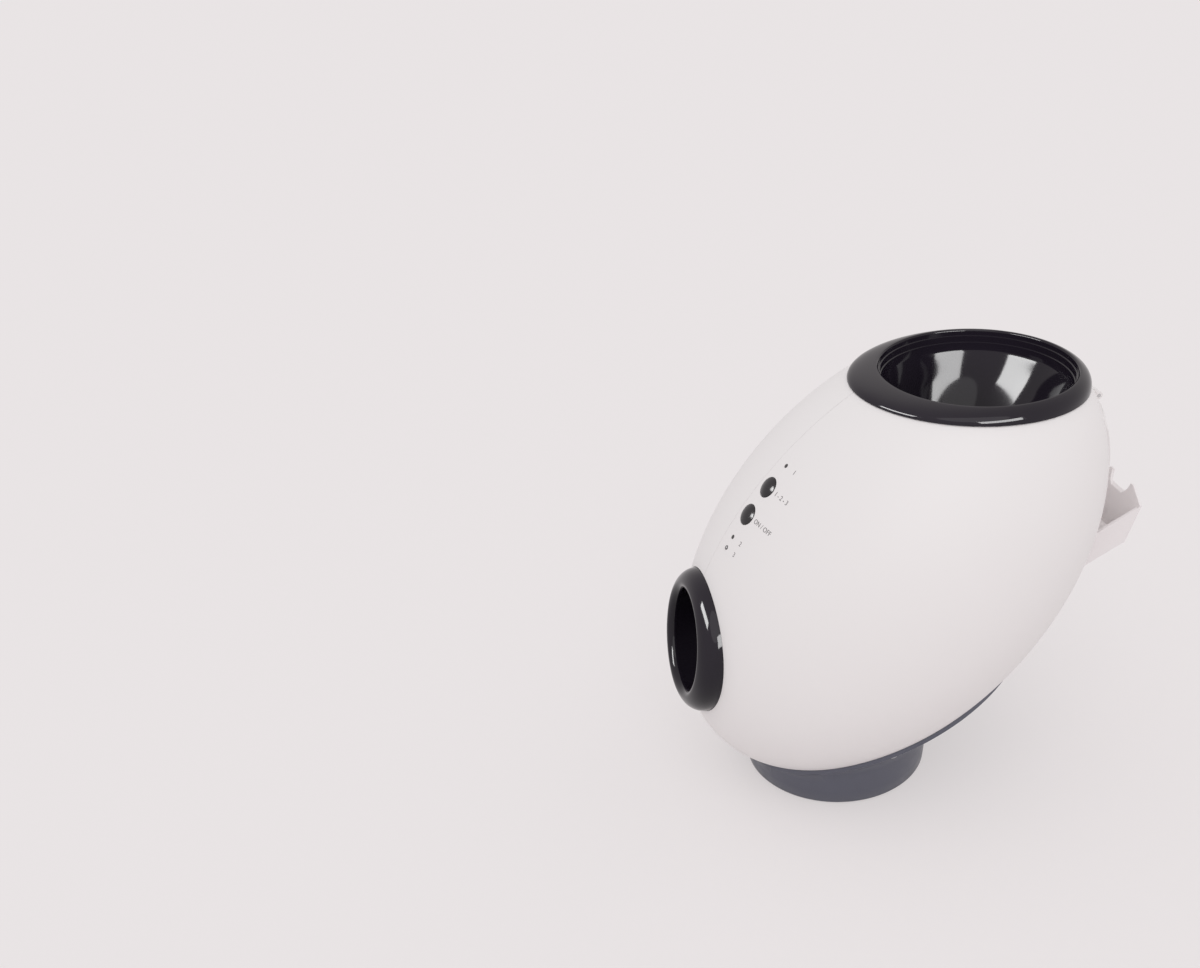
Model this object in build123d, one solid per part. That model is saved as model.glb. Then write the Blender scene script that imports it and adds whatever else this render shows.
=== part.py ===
from build123d import *
import os
from math import cos, degrees, hypot, pi, radians, sin, sqrt, tan

# Automatic ball and treat launcher for dogs. An egg-shaped housing in two halves stands on
# a round foot. A ball dropped into the bowl on top falls down a chute, waits at a gate and
# rolls between two spinning wheels, which throw it out of the muzzle. A star drum then
# drops a treat into the tray at the back.
#
# Frame: +X is the throwing direction, +Y the machine's left, +Z up. The origin is the
# centre of the foot on the ground. All sizes are in millimetres.

# Overall size, and the clearances that every fit is made from
OVERALL_LENGTH = 330.0
OVERALL_HEIGHT = 290.0
SEAT = 0.2
SLIDE = 0.3
RUN = 0.05
REACH = 400.0

# Housing: an ellipsoid whose long axis leans back
EGG_LONG = 176.5
EGG_SHORT = 111.5
EGG_HALF_WIDTH = 120.0
EGG_TILT = 46.0
EGG_X = -40.0
EGG_Z = 160.5
WALL = 2.5
SEAM = 0.2
LAP_THICK = 1.3
LAP_REACH = 3.0
LAP_ROOT = 4.0
SCREW_R = 1.4
SCREW_HEAD_R = 2.9
SCREW_HEAD_HIGH = 1.8
SCREW_BITE = 9.0
BOSS_R = 4.2
CROSS_SCREWS = ((48.0, 168.0), (-15.0, 236.0), (-117.0, 102.0))
CROSS_SCREW_SINK = 16.0
CROSS_SCREW_LONG = 24.0

# Ball, wheels and the line along which the ball is thrown
BALL_R = 32.0
BALL_ROOM = 2.5
MUZZLE_X = 106.5
MUZZLE_Z = 120.0
MUZZLE_TILT = 10.0
MUZZLE_BORE_R = 34.7
TUBE_WALL = 2.5
TUBE_BACK = -50.0
TUBE_FRONT = -20.3
TUBE_FLANGE_R = 42.0
TUBE_FLANGE_THICK = 2.0
RING_R = 49.5
RING_CREST_R = 39.5
RING_CREST_OUT = 1.5
RING_EDGE_BACK = -12.0
RING_SKIRT_BACK = -30.0
RING_SKIRT_THICK = 2.4
WHEEL_BACK = -78.0
TYRE_R = 26.0
TYRE_GROOVE = 1.6
TYRE_THICK = 6.0
WHEEL_HALF_HEIGHT = 12.0
BALL_SQUEEZE = 2.0
HUB_WEB_HALF = 2.5
HUB_BORE_WALL = 3.5
HUB_HOLES = 6
HUB_HOLE_R = 3.6
SHAFT_R = 1.5
SHAFT_TOP = 13.0
SHAFT_SINK = 11.0
MOTOR_R = 13.9
MOTOR_LONG = 33.0
MOTOR_NOSE_R = 4.9
MOTOR_NOSE_HIGH = 3.4
MOTOR_SCREW_OFFSET = 8.5
MOTOR_TAB_LONG = 5.0

# Frame that carries the wheels, motors and launch tube
FRAME_DROP = 17.5
FRAME_THICK = 3.0
FRAME_BACK = -128.0
GUTTER_BACK = -105.5
FRAME_HALF_WIDTH = 86.0
FRAME_RIM = 4.0
BULKHEAD_R = 46.0
BULKHEAD_THICK = 3.0
POST_R = 4.5
POSTS = ((40.0, 37.0), (40.0, -37.0), (-6.0, 54.0), (-6.0, -54.0))

# Bowl on top
RIM_X = -96.0
RIM_Z = 279.0
RIM_TILT = 4.0
RIM_OVERHANG = 1.2
RIM_WALL = 2.4
RIM_CROWN = ((0.0, 0.0), (0.28, 0.03), (0.6, 0.22), (0.85, 0.58), (1.0, 1.0))
RIM_SKIRT_DEEP = 5.0
RIM_SKIRT_FROM = 10.0
LIP_X = -102.8
LIP_TILT = 2.0
LIP_R = 63.4
LIP_LAND = 1.8
BOWL_WALL = 2.4
BOWL_STEPS = ((0.0, 4.0), (0.9, 8.5), (1.8, 14.0))
STEP_DRAFT = 0.2
BOWL_BENDS = ((34.0, 54.5, 4.0), (54.0, 44.5, 9.0))
THROAT_DEEP = 68.0
THROAT_END = 84.0
THROAT_R = 35.5
THROAT_SHIFT = 13.0

# Chute from the bowl to the wheels, with its gate and ball sensors
CHUTE_WALL = 2.4
CHUTE_TOP = 76.0
CHUTE_SIDE_HIGH = 22.0
RAMP_SLOPE = 22.0
RAMP_END_X = 2.0
GATE_BACK = 58.0
GATE_DROP = 7.0
GATE_BLADE_HIGH = 30.0
GATE_BLADE_THICK = 3.0
GATE_HALF_WIDTH = 10.0
GATE_HUB_R = 4.0
GATE_PIN_R = 2.0
GATE_SLOT_FRONT = 25.0
EAR_THICK = 3.0
EAR_HALF_LONG = 7.0
SERVO_LONG = 23.0
SERVO_HIGH = 12.0
SERVO_WIDE = 22.0
SENSOR_BACK = 44.0
SENSOR_UP = 6.0
SENSOR_R = 2.5
SENSOR_LONG = 9.0
CHUTE_TAB_OUT = 50.0
CHUTE_TAB_LONG = 14.0
CHUTE_TAB_INSET = 3.0

# Bottom cover and foot
COVER_X = -34.0
COVER_HALF_LONG = 102.0
COVER_HALF_WIDTH = 85.0
COVER_THICK = 2.8
COVER_LAP = 9.0
COVER_RIB_DEEP = 6.0
COVER_RIB_THICK = 2.0
COVER_ZONE_TOP = 150.0
COVER_SCREW_ANGLES = (78.0, 122.0, 160.0)
FOOT_R = 63.4
FOOT_FLARE = 4.0
FOOT_HIGH = 40.0
FOOT_EDGE = 2.5
FOOT_GROUND_GAP = 1.0
FOOT_WALL = 3.0
PAD_R = 8.0
PAD_THICK = 2.5
PAD_RING_R = 53.0
PADS = 4
INLET_HIGH = 15.0
INLET_SIDE = 10.0
INLET_DEEP = 13.0
INLET_COLLAR_R = 4.9
INLET_BORE_R = 3.1
INLET_BORE_DEEP = 9.5
INLET_PIN_R = 1.05
INLET_PROUD = 0.6

# Buttons, lamps and boards
ROW_Y = 11.0
ROW_X = 52.4
BUTTON_SPOTS = (-11.3, 11.3)
LAMP_SPOTS = (-29.5, 29.7, 38.2)
BUTTON_R = 7.2
BUTTON_FLANGE = 1.5
BUTTON_FLANGE_THICK = 1.2
BUTTON_PROUD = 1.6
BUTTON_TRAVEL = 1.0
BUTTON_STEM_R = 1.6
COLLAR_DEEP = 5.0
COLLAR_WALL = 1.4
LAMP_R = 1.5
LAMP_PROUD = 0.4
PANEL_DEEP = 15.0
PANEL_BOARD = (84.0, 19.0, 1.6)
PANEL_BOARD_SHIFT = 4.3
PANEL_POSTS = (-24.3, 24.3)
PANEL_POST_R = 2.3
SWITCH_SIDE = 6.0
SWITCH_HIGH = 3.4
PLUNGER_R = 1.7
PLUNGER_HIGH = 1.2
MAIN_BOARD = (64.0, 54.0, 1.6)
MAIN_BOARD_X = -2.0
MAIN_BOARD_Z = 10.0
MAIN_POST_R = 3.0
MAIN_POST_INSET = 4.0

# Treat side: bin, lid, drum, its gears and motor, chute and tray
BIN_LOW = 182.0
BIN_HIGH = 260.0
BIN_HALF_WIDTH = 46.0
BIN_WALL = 2.0
BIN_FRONT = ((-131.5, 212.0), (-141.0, 228.0), (-164.0, 260.0))
DRUM_X = -150.0
DRUM_Z = 166.0
DRUM_R = 15.0
DRUM_ROOM = 0.4
DRUM_HALF_LONG = 23.5
DRUM_CORE_R = 5.5
DRUM_VANES = 6
DRUM_VANE_THICK = 2.0
DRUM_WALL = 2.4
AXLE_R = 2.5
GEAR_MODULE = 1.0
GEAR_TEETH = 24
PINION_TEETH = 12
GEAR_WIDE = 5.0
GEAR_START_Y = 28.0
GEAR_BACKLASH = 0.12
PINION_ANGLE = -45.0
PINION_SHAFT_R = 1.5
GEARMOTOR = (12.0, 10.0, 24.0)
BRACKET_THICK = 2.0
SLIDE_SLOPE = 20.5
TREAT_SLIDE_TOP = (-133.0, 150.2)
TREAT_SLIDE_LONG = 30.0
TREAT_SLIDE_SIDE = 3.0
LID_LOW = 196.0
LID_HIGH = 255.4
LID_HALF_WIDTH = 41.5
LID_CORNER_R = 9.0
LID_PROUD = 1.0
LID_THICK = 2.5
LID_GAP = 0.5
LID_PIN_R = 1.25
LID_KNUCKLE_R = 2.6
LID_KNUCKLE_HALF = 10.0
SHELL_KNUCKLE_LONG = 6.0
LID_PULL_HALF = 12.0
LID_PULL_OUT = 3.0
LID_PULL_HIGH = 2.4
TRAY_SLOPE = 25.0
TRAY_LEAN = 22.0
TRAY_LAP = 9.9
TRAY_CUT_DEEP = 70.0
TRAY_HALF_WIDTH = 30.0
TRAY_SIDE_HIGH = 19.0
TRAY_END_HIGH = 36.0
TRAY_PEAK_Y = 15.0
TRAY_NOTCH_R = 12.0
TRAY_MOUTH_Z = 129.45
TRAY_WALL = 2.2
TRAY_MOUTH_HALF = 25.5
TRAY_MOUTH_HIGH = 22.0


# ------------------------------------------------------------------ plain helpers

def leaning(x, z, tilt):
    """Plane across the machine at (x, z), tipped backwards by tilt degrees."""
    lean = radians(tilt)
    return Plane(origin=(x, 0, z), x_dir=(cos(lean), 0, sin(lean)), z_dir=(-sin(lean), 0, cos(lean)))


def block(x, y, z):
    """Box between two limits on each axis."""
    spans = (x, y, z)
    centre = [(low + high) / 2 for low, high in spans]
    return Pos(*centre) * Box(*[high - low for low, high in spans])


def rod(radius, start, end):
    """Round bar along Z between two heights."""
    return Pos(0, 0, (start + end) / 2) * Cylinder(radius, end - start)


def pipe(outer, inner, start, end):
    """Round tube along Z between two heights."""
    return rod(outer, start, end) - rod(inner, start - 1, end + 1)


def turned(outline):
    """Solid of revolution about Z of a closed outline of (radius, height) points."""
    return revolve(Plane.XZ * make_face(Polyline(*outline, close=True)), Axis.Z)


def side_slab(outline, low_y, high_y):
    """Slab across the machine with a side outline of (x, z) points."""
    face = Plane.XZ * make_face(Polyline(*outline, close=True))
    return Pos(0, low_y, 0) * extrude(face, amount=high_y - low_y, dir=(0, 1, 0))


def cross_rod(radius, x, z, start_y, end_y):
    """Round bar along Y at (x, z)."""
    return Pos(x, (start_y + end_y) / 2, z) * Rot(X=90) * Cylinder(radius, abs(end_y - start_y))


def join(solids):
    """Fuse a list of solids into one."""
    first, *rest = solids
    return first.fuse(*rest) if rest else first


# ------------------------------------------------------------------ the egg

LEAN = radians(EGG_TILT)
EGG_CENTRE = Vector(EGG_X, 0, EGG_Z)
EGG_AXES = (Vector(cos(LEAN), 0, -sin(LEAN)), Vector(0, 1, 0), Vector(sin(LEAN), 0, cos(LEAN)))


def egg(grow=0.0):
    """The housing's ellipsoid, grown outwards by an offset."""
    ball = Rot(X=90) * Sphere(1.0)
    stretched = scale(ball, by=(EGG_LONG + grow, EGG_HALF_WIDTH + grow, EGG_SHORT + grow))
    return Pos(EGG_X, 0, EGG_Z) * Rot(Y=EGG_TILT) * stretched


def egg_crossings(point, direction, grow=0.0):
    """Distances along a line at which it enters and leaves the egg."""
    reach = (EGG_LONG + grow, EGG_HALF_WIDTH + grow, EGG_SHORT + grow)
    start = [(Vector(*point) - EGG_CENTRE).dot(axis) / half for axis, half in zip(EGG_AXES, reach)]
    step = [Vector(*direction).dot(axis) / half for axis, half in zip(EGG_AXES, reach)]
    square = sum(value * value for value in step)
    middle = sum(a * b for a, b in zip(start, step))
    rest = sum(value * value for value in start) - 1
    root = sqrt(middle * middle - square * rest)
    return (-middle - root) / square, (root - middle) / square


def egg_normal(point):
    """Outward direction of the egg's surface at a point on it."""
    reach = (EGG_LONG, EGG_HALF_WIDTH, EGG_SHORT)
    out = Vector(0, 0, 0)
    for axis, half in zip(EGG_AXES, reach):
        out += axis * ((Vector(*point) - EGG_CENTRE).dot(axis) / half**2)
    return out.normalized()


def under_egg(x, y):
    """Plane on the egg's underside above (x, y), with Z pointing out of the egg."""
    low, _ = egg_crossings((x, y, 0), (0, 0, 1))
    spot = Vector(x, y, low)
    return Plane(origin=spot, z_dir=egg_normal(spot))


def back_of_egg(z, grow=0.0):
    """X of the egg's back on the middle plane at a height."""
    low, _ = egg_crossings((EGG_X, 0, z), (1, 0, 0), grow)
    return EGG_X + low


# ------------------------------------------------------------------ shared places

RIM = leaning(RIM_X, RIM_Z, RIM_TILT)
LIP_TOP_R = LIP_R + LIP_LAND
LIP = leaning(LIP_X, OVERALL_HEIGHT - LIP_TOP_R * sin(radians(LIP_TILT)), LIP_TILT)
THROAT = LIP * Pos(THROAT_SHIFT, 0, 0)

THROW = radians(MUZZLE_TILT)
LAUNCH = Plane(origin=(MUZZLE_X, 0, MUZZLE_Z), x_dir=(0, 1, 0), z_dir=(cos(THROW), 0, sin(THROW)))
WHEEL_OUT = BALL_R + TYRE_R - BALL_SQUEEZE
CHANNEL_R = BALL_R + BALL_ROOM
FRONT_X = MUZZLE_X + RING_CREST_OUT * cos(THROW) + RING_CREST_R * sin(THROW)

RAMP_END_Z = MUZZLE_Z - (MUZZLE_X - RAMP_END_X) * tan(THROW)
FALL = radians(RAMP_SLOPE)
RAMP = Plane(origin=(RAMP_END_X, 0, RAMP_END_Z), x_dir=(0, -1, 0), z_dir=(-cos(FALL), 0, sin(FALL)))
GATE_Y = -(CHANNEL_R + CHUTE_WALL + GATE_DROP)

LID_PIN_Z = LID_HIGH + LID_GAP + LID_KNUCKLE_R
LID_PIN_X = back_of_egg(LID_PIN_Z, LID_PROUD)
TRAY_END_X = FRONT_X - OVERALL_LENGTH
TRAY_UP = (-sin(radians(TRAY_LEAN)), cos(radians(TRAY_LEAN)))
TRAY_OUT = (-cos(radians(TRAY_SLOPE)), sin(radians(TRAY_SLOPE)))
TRAY_NORMAL = (TRAY_OUT[1], -TRAY_OUT[0])
TRAY_MOUTH_X = back_of_egg(TRAY_MOUTH_Z)
TRAY_FLOOR = (TRAY_END_X - TRAY_UP[0] * TRAY_END_HIGH - TRAY_MOUTH_X) / TRAY_OUT[0]
TRAY_FOOT = (TRAY_MOUTH_X + TRAY_OUT[0] * TRAY_FLOOR, TRAY_MOUTH_Z + TRAY_OUT[1] * TRAY_FLOOR)

GEAR_REACH = GEAR_MODULE * (GEAR_TEETH + PINION_TEETH) / 2 + GEAR_BACKLASH
PINION_X = DRUM_X + GEAR_REACH * cos(radians(PINION_ANGLE))
PINION_Z = DRUM_Z + GEAR_REACH * sin(radians(PINION_ANGLE))


def row_plane():
    """Plane on the housing at the middle of the button row, X running down the row."""
    _, high = egg_crossings((ROW_X, ROW_Y, EGG_Z), (0, 0, 1))
    spot = Vector(ROW_X, ROW_Y, EGG_Z + high)
    out = egg_normal(spot)
    return Plane(origin=spot, x_dir=(out.Z, 0, -out.X), z_dir=out)


ROW = row_plane()


def skin_height(along, grow=0.0):
    """Height of the housing's surface over the row plane at a place along the row."""
    spot = ROW.origin + ROW.x_dir * along
    _, high = egg_crossings(spot, ROW.z_dir, grow)
    return high


# ------------------------------------------------------------------ housing shells

def rim_ellipse(grow, inset=0.0):
    """Centre and half axes of the egg's section by the rim plane."""
    low, high = egg_crossings(RIM.origin, RIM.x_dir, grow)
    centre = (low + high) / 2
    _, side = egg_crossings(RIM.origin + RIM.x_dir * centre, (0, 1, 0), grow)
    return centre, (high - low) / 2 - inset, side - inset


def cover_zone(inset, high=COVER_ZONE_TOP):
    """Upright prism over the bottom cover's oval outline."""
    oval = Ellipse(COVER_HALF_LONG - inset, COVER_HALF_WIDTH - inset)
    return Pos(COVER_X, 0, 0) * extrude(oval, amount=high)


def cover_screw_planes():
    """Planes on the housing's underside where the cover is screwed on, for +Y."""
    planes = []
    for angle in COVER_SCREW_ANGLES:
        turn = radians(angle)
        x = COVER_X + (COVER_HALF_LONG - COVER_LAP / 2) * cos(turn)
        planes.append(under_egg(x, (COVER_HALF_WIDTH - COVER_LAP / 2) * sin(turn)))
    return planes


def tray_mouth():
    """Opening in the housing through which treats slide into the tray."""
    mouth = (TRAY_MOUTH_X, 0, TRAY_MOUTH_Z)
    plane = Plane(origin=mouth, x_dir=(TRAY_OUT[0], 0, TRAY_OUT[1]), z_dir=(TRAY_NORMAL[0], 0, TRAY_NORMAL[1]))
    half = TRAY_MOUTH_HALF + SLIDE
    return plane * block((-TRAY_CUT_DEEP, TRAY_FLOOR - TRAY_WALL), (-half, half), (-SLIDE, TRAY_MOUTH_HIGH))


def lid_outline(grow):
    """Prism across the back wall with the lid's rounded outline."""
    wide = 2 * (LID_HALF_WIDTH + grow)
    outline = RectangleRounded(wide, LID_HIGH - LID_LOW + 2 * grow, LID_CORNER_R + grow)
    return Pos(DRUM_X, 0, (LID_LOW + LID_HIGH) / 2) * extrude(Plane.YZ * outline, amount=-REACH)


def lid_window():
    """Opening of the treat bin's lid, with room for the lid's hinge barrel."""
    half = LID_KNUCKLE_HALF + SLIDE
    top = LID_PIN_Z + LID_KNUCKLE_R + LID_GAP
    return lid_outline(LID_GAP) + block((-REACH, DRUM_X), (-half, half), (LID_HIGH - 1, top))


def shell_bosses(side):
    """Screw bosses of one half, which meet on the middle plane or on the cover."""
    bosses = []
    for x, z in CROSS_SCREWS:
        bosses.append(cross_rod(BOSS_R, x, z, 0, side * REACH / 2))
    for plane in cover_screw_planes():
        boss = plane * rod(BOSS_R, -WALL - SCREW_BITE, -WALL / 2)
        bosses.append(boss if side > 0 else boss.mirror(Plane.XZ))
    return join(bosses) & egg(-WALL / 2)


def shell_knuckle(side):
    """Hinge knuckle of the treat lid on one half."""
    low = LID_KNUCKLE_HALF + SLIDE
    high = LID_KNUCKLE_HALF + SHELL_KNUCKLE_LONG
    if side < 0:
        low, high = -high, -low
    barrel = cross_rod(LID_KNUCKLE_R, LID_PIN_X, LID_PIN_Z, low, high)
    return barrel - cross_rod(LID_PIN_R + RUN, LID_PIN_X, LID_PIN_Z, low - 1, high + 1)


def shell_cuts():
    """Everything that is open in both halves of the housing."""
    over_rim = RIM * Pos(0, 0, REACH / 2) * Box(REACH, REACH, REACH)
    nose = LAUNCH * rod(RING_R + SEAT, RING_SKIRT_BACK, REACH)
    return [over_rim, nose, cover_zone(COVER_LAP), tray_mouth(), lid_window()]


def half_space(side, edge):
    """Everything on one side of the middle plane, from edge outwards."""
    span = (edge, REACH) if side > 0 else (-REACH, -edge)
    return block((-REACH, REACH), span, (-REACH, REACH))


def make_shell(side):
    """One half of the housing: wall, bosses and hinge knuckle, without small holes."""
    shell = (egg() - egg(-WALL)) & half_space(side, SEAM / 2)
    for cut in shell_cuts():
        shell -= cut
    bosses = shell_bosses(side) & half_space(side, SEAM / 2)
    return shell + bosses + shell_knuckle(side)


def lap_band():
    """Tongue along the left half's seam, which laps into the right half."""
    band = (egg(-WALL / 2) - egg(-WALL - LAP_THICK)) & block((-REACH, REACH), (-LAP_REACH, LAP_ROOT), (-REACH, REACH))
    band -= (egg() - egg(-WALL - SEAT)) & block((-REACH, REACH), (-REACH, SEAM), (-REACH, REACH))
    for cut in shell_cuts():
        band -= cut
    band -= RIM * block((-REACH, REACH), (-REACH, REACH), (-RIM_SKIRT_DEEP - SLIDE, REACH))
    band -= block((-REACH, DRUM_X), (-REACH, REACH), (BIN_LOW - SLIDE, BIN_HIGH + SLIDE))
    for x, z in CROSS_SCREWS:
        band -= cross_rod(BOSS_R + SLIDE, x, z, -LAP_REACH * 2, 0)
    return band


def panel_holes():
    """Holes for the buttons and lamps, square to the row plane."""
    holes = [ROW * Pos(spot, 0, 0) * rod(BUTTON_R + SLIDE, -PANEL_DEEP, PANEL_DEEP) for spot in BUTTON_SPOTS]
    holes += [ROW * Pos(spot, 0, 0) * rod(LAMP_R + RUN, -PANEL_DEEP, PANEL_DEEP) for spot in LAMP_SPOTS]
    return holes


def panel_mounts():
    """Collars round the buttons and posts for the button board."""
    floor = -PANEL_DEEP + PANEL_BOARD[2]
    mounts = []
    for spot in BUTTON_SPOTS:
        mounts.append(ROW * Pos(spot, 0, 0) * rod(BUTTON_R + SLIDE + COLLAR_WALL, -COLLAR_DEEP, 0))
    for spot in PANEL_POSTS:
        mounts.append(ROW * Pos(spot, 0, 0) * rod(PANEL_POST_R, floor, 0))
    return join(mounts) & egg(-WALL / 2)


def make_left_shell():
    """Left half, with the seam's tongue, the button row and the blind ends of the screws."""
    shell = make_shell(1) + lap_band() + panel_mounts()
    for hole in panel_holes():
        shell -= hole
    for spot in PANEL_POSTS:
        shell -= ROW * Pos(spot, 0, 0) * rod(SCREW_R, -PANEL_DEEP, -WALL * 2)
    for x, z in CROSS_SCREWS:
        shell -= cross_rod(SCREW_R, x, z, -1, CROSS_SCREW_LONG)
    for plane in cover_screw_planes():
        shell -= plane * rod(SCREW_R, -WALL - SCREW_BITE, 1)
    return shell


def make_right_shell():
    """Right half, with deep counterbores for the housing screws."""
    shell = make_shell(-1)
    for x, z in CROSS_SCREWS:
        shell -= cross_rod(SCREW_R + SEAT, x, z, -REACH, 1)
        shell -= cross_rod(SCREW_HEAD_R + SEAT, x, z, -REACH, -CROSS_SCREW_SINK)
    for plane in cover_screw_planes():
        shell -= (plane * rod(SCREW_R, -WALL - SCREW_BITE, 1)).mirror(Plane.XZ)
    return shell


# ------------------------------------------------------------------ bottom cover and foot

def foot_radius(height):
    """Outer radius of the foot at a height over the ground."""
    return FOOT_R + FOOT_FLARE * (height - FOOT_EDGE) / (FOOT_HIGH - FOOT_EDGE)


def frame_under(x):
    """Height of the wheel frame's underside over a place on the middle line."""
    drop = (FRAME_DROP + FRAME_THICK) / cos(THROW)
    return MUZZLE_Z + (x - MUZZLE_X) * tan(THROW) - drop


def main_board_posts():
    """Places of the main board's posts."""
    along = MAIN_BOARD[0] / 2 - MAIN_POST_INSET
    across = MAIN_BOARD[1] / 2 - MAIN_POST_INSET
    return [(MAIN_BOARD_X + a * along, b * across) for a in (-1, 1) for b in (-1, 1)]


def pad_places():
    """Centres of the rubber pads: one in the middle and a ring round it."""
    turns = [2 * pi * index / PADS for index in range(PADS)]
    return [(0.0, 0.0)] + [(PAD_RING_R * cos(turn), PAD_RING_R * sin(turn)) for turn in turns]


def make_bottom_cover():
    """Cover plate over the housing's underside, with the foot, its posts and recesses."""
    skin = (egg(COVER_THICK) - egg(SEAT)) & cover_zone(0)
    rib_zone = cover_zone(COVER_LAP + SLIDE) - cover_zone(COVER_LAP + SLIDE + COVER_RIB_THICK)
    rib = (egg(SEAT + WALL / 2) - egg(-COVER_RIB_DEEP)) & rib_zone
    floor = FOOT_GROUND_GAP + FOOT_WALL
    outside = turned([
        (0, FOOT_GROUND_GAP), (FOOT_R - FOOT_EDGE, FOOT_GROUND_GAP), (FOOT_R - FOOT_EDGE / 3, FOOT_EDGE * 0.6),
        (FOOT_R, FOOT_EDGE), (foot_radius(FOOT_HIGH), FOOT_HIGH), (0, FOOT_HIGH)])
    inside = turned([
        (0, floor), (foot_radius(floor) - FOOT_WALL, floor),
        (foot_radius(FOOT_HIGH) - FOOT_WALL, FOOT_HIGH), (0, FOOT_HIGH)])
    cover = skin + rib + (outside - egg(SEAT)) - inside
    ground_up = [Pos(x, y, 0) * rod(POST_R, floor - 1, frame_under(x) + POST_R) for x, y in POSTS]
    under_frame = LAUNCH * block((-REACH, REACH), (-REACH, -FRAME_DROP - FRAME_THICK), (-REACH, REACH))
    cover += join(ground_up) & under_frame
    for x, y in main_board_posts():
        cover += Pos(x, y, 0) * rod(MAIN_POST_R, floor - 1, MAIN_BOARD_Z)
        cover -= Pos(x, y, 0) * rod(SCREW_R, floor, MAIN_BOARD_Z + 1)
    for x, y in POSTS:
        cover -= Pos(x, y, 0) * rod(SCREW_R, floor, REACH)
    for x, y in pad_places():
        cover -= Pos(x, y, 0) * rod(PAD_R + SEAT, 0, PAD_THICK + SEAT)
    cover -= Pos(-FOOT_R, 0, INLET_HIGH) * Rot(Y=90) * Cylinder(INLET_COLLAR_R + SEAT, FOOT_WALL * 6)
    for plane in cover_screw_planes():
        hole = plane * (
            rod(BOSS_R + SLIDE, -WALL - SCREW_BITE * 2, SEAT) + rod(SCREW_R + SEAT, -1, REACH / 10)
            + rod(SCREW_HEAD_R + SEAT, COVER_THICK / 2, REACH / 10))
        cover -= hole
        cover -= hole.mirror(Plane.XZ)
    return cover


def make_foot_pads():
    """Rubber pads that stand on the ground."""
    return [Pos(x, y, 0) * rod(PAD_R, 0, PAD_THICK) for x, y in pad_places()]


def screw(plane, head_at, length):
    """Pan-head screw whose shank runs down from the head, along -Z of the plane."""
    return plane * (rod(SCREW_HEAD_R, head_at, head_at + SCREW_HEAD_HIGH) + rod(SCREW_R - RUN, head_at - length, head_at))


def make_cover_screws():
    """Screws that hold the bottom cover to the housing."""
    screws = []
    for plane in cover_screw_planes():
        one = screw(plane, COVER_THICK / 2, WALL + SCREW_BITE * 0.8)
        screws += [one, one.mirror(Plane.XZ)]
    return screws


def make_shell_screws():
    """Long screws that hold the two halves of the housing together."""
    screws = []
    for x, z in CROSS_SCREWS:
        plane = Plane(origin=(x, -CROSS_SCREW_SINK, z), x_dir=(1, 0, 0), z_dir=(0, -1, 0))
        screws.append(screw(plane, 0, CROSS_SCREW_SINK + CROSS_SCREW_LONG * 0.9))
    return screws


def inlet_plane():
    """Plane at the power inlet's mouth, Z pointing back out of the foot."""
    return Plane(origin=(-foot_radius(INLET_HIGH) - INLET_PROUD, 0, INLET_HIGH), x_dir=(0, 1, 0), z_dir=(-1, 0, 0))


def make_power_inlet():
    """Round low-voltage inlet with its centre pin."""
    half = INLET_SIDE / 2
    behind = INLET_PROUD + FOOT_WALL + half * FOOT_FLARE / (FOOT_HIGH - FOOT_EDGE) + SEAT
    body = block((-half, half), (-half, half), (-behind - INLET_DEEP, -behind))
    inlet = body + rod(INLET_COLLAR_R, -behind - 1, 0) - rod(INLET_BORE_R, -INLET_BORE_DEEP, 1)
    return inlet_plane() * (inlet + rod(INLET_PIN_R, -INLET_BORE_DEEP - 1, -0.5))


# ------------------------------------------------------------------ bowl and muzzle

def bowl_form(grow, top):
    """Space inside the bowl, or its outer form when grown by the wall."""
    outline = [(0, top)]
    for inset, deep in BOWL_STEPS:
        radius = LIP_R - inset + grow
        outline += [(radius, top), (radius - STEP_DRAFT, -deep)]
        top = -deep
    rings = [Pos(0, 0, top) * Circle(outline[-1][0])]
    rings += [Pos(shift, 0, -deep) * Circle(radius + grow) for deep, radius, shift in BOWL_BENDS]
    rings.append(Pos(THROAT_SHIFT, 0, -THROAT_DEEP) * Circle(THROAT_R + grow))
    end = THROAT_END if grow else THROAT_END + 1
    neck = Pos(THROAT_SHIFT, 0, 0) * rod(THROAT_R + grow, -end, -THROAT_DEEP)
    return LIP * (turned([*outline, (0, top)]) + loft(rings) + neck)


def flange_form(inset):
    """Solid under the flange's crowned top, or the space below it when inset by the wall."""
    centre, along, across = rim_ellipse(0.0, inset - RIM_OVERHANG)
    lip = RIM.to_local_coords(LIP.origin)
    rings = []
    for rise, blend in RIM_CROWN:
        half_long = along + (LIP_TOP_R - inset - along) * blend
        half_wide = across + (LIP_TOP_R - inset - across) * blend
        place = Pos(centre + (lip.X - centre) * blend, 0, lip.Z * rise - inset)
        rings.append(place * Rot(Y=(RIM_TILT - LIP_TILT) * rise) * Ellipse(half_long, half_wide))
    return RIM * loft(rings)


def rim_skirt():
    """Rib under the flange's front that locates the bowl in the housing."""
    centre, along, across = rim_ellipse(-WALL, SLIDE)
    ring = Ellipse(along, across) - Ellipse(along - RIM_WALL, across - RIM_WALL)
    wall = RIM * Pos(centre, 0, 0) * extrude(ring, amount=LIP_R)
    low = RIM * Pos(centre, 0, -RIM_SKIRT_DEEP) * extrude(ring, amount=RIM_SKIRT_DEEP)
    front = RIM * block((RIM_SKIRT_FROM, REACH), (-REACH, REACH), (-REACH, REACH))
    return (low & front) + (wall & flange_form(RIM_WALL / 2) & front)


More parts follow.
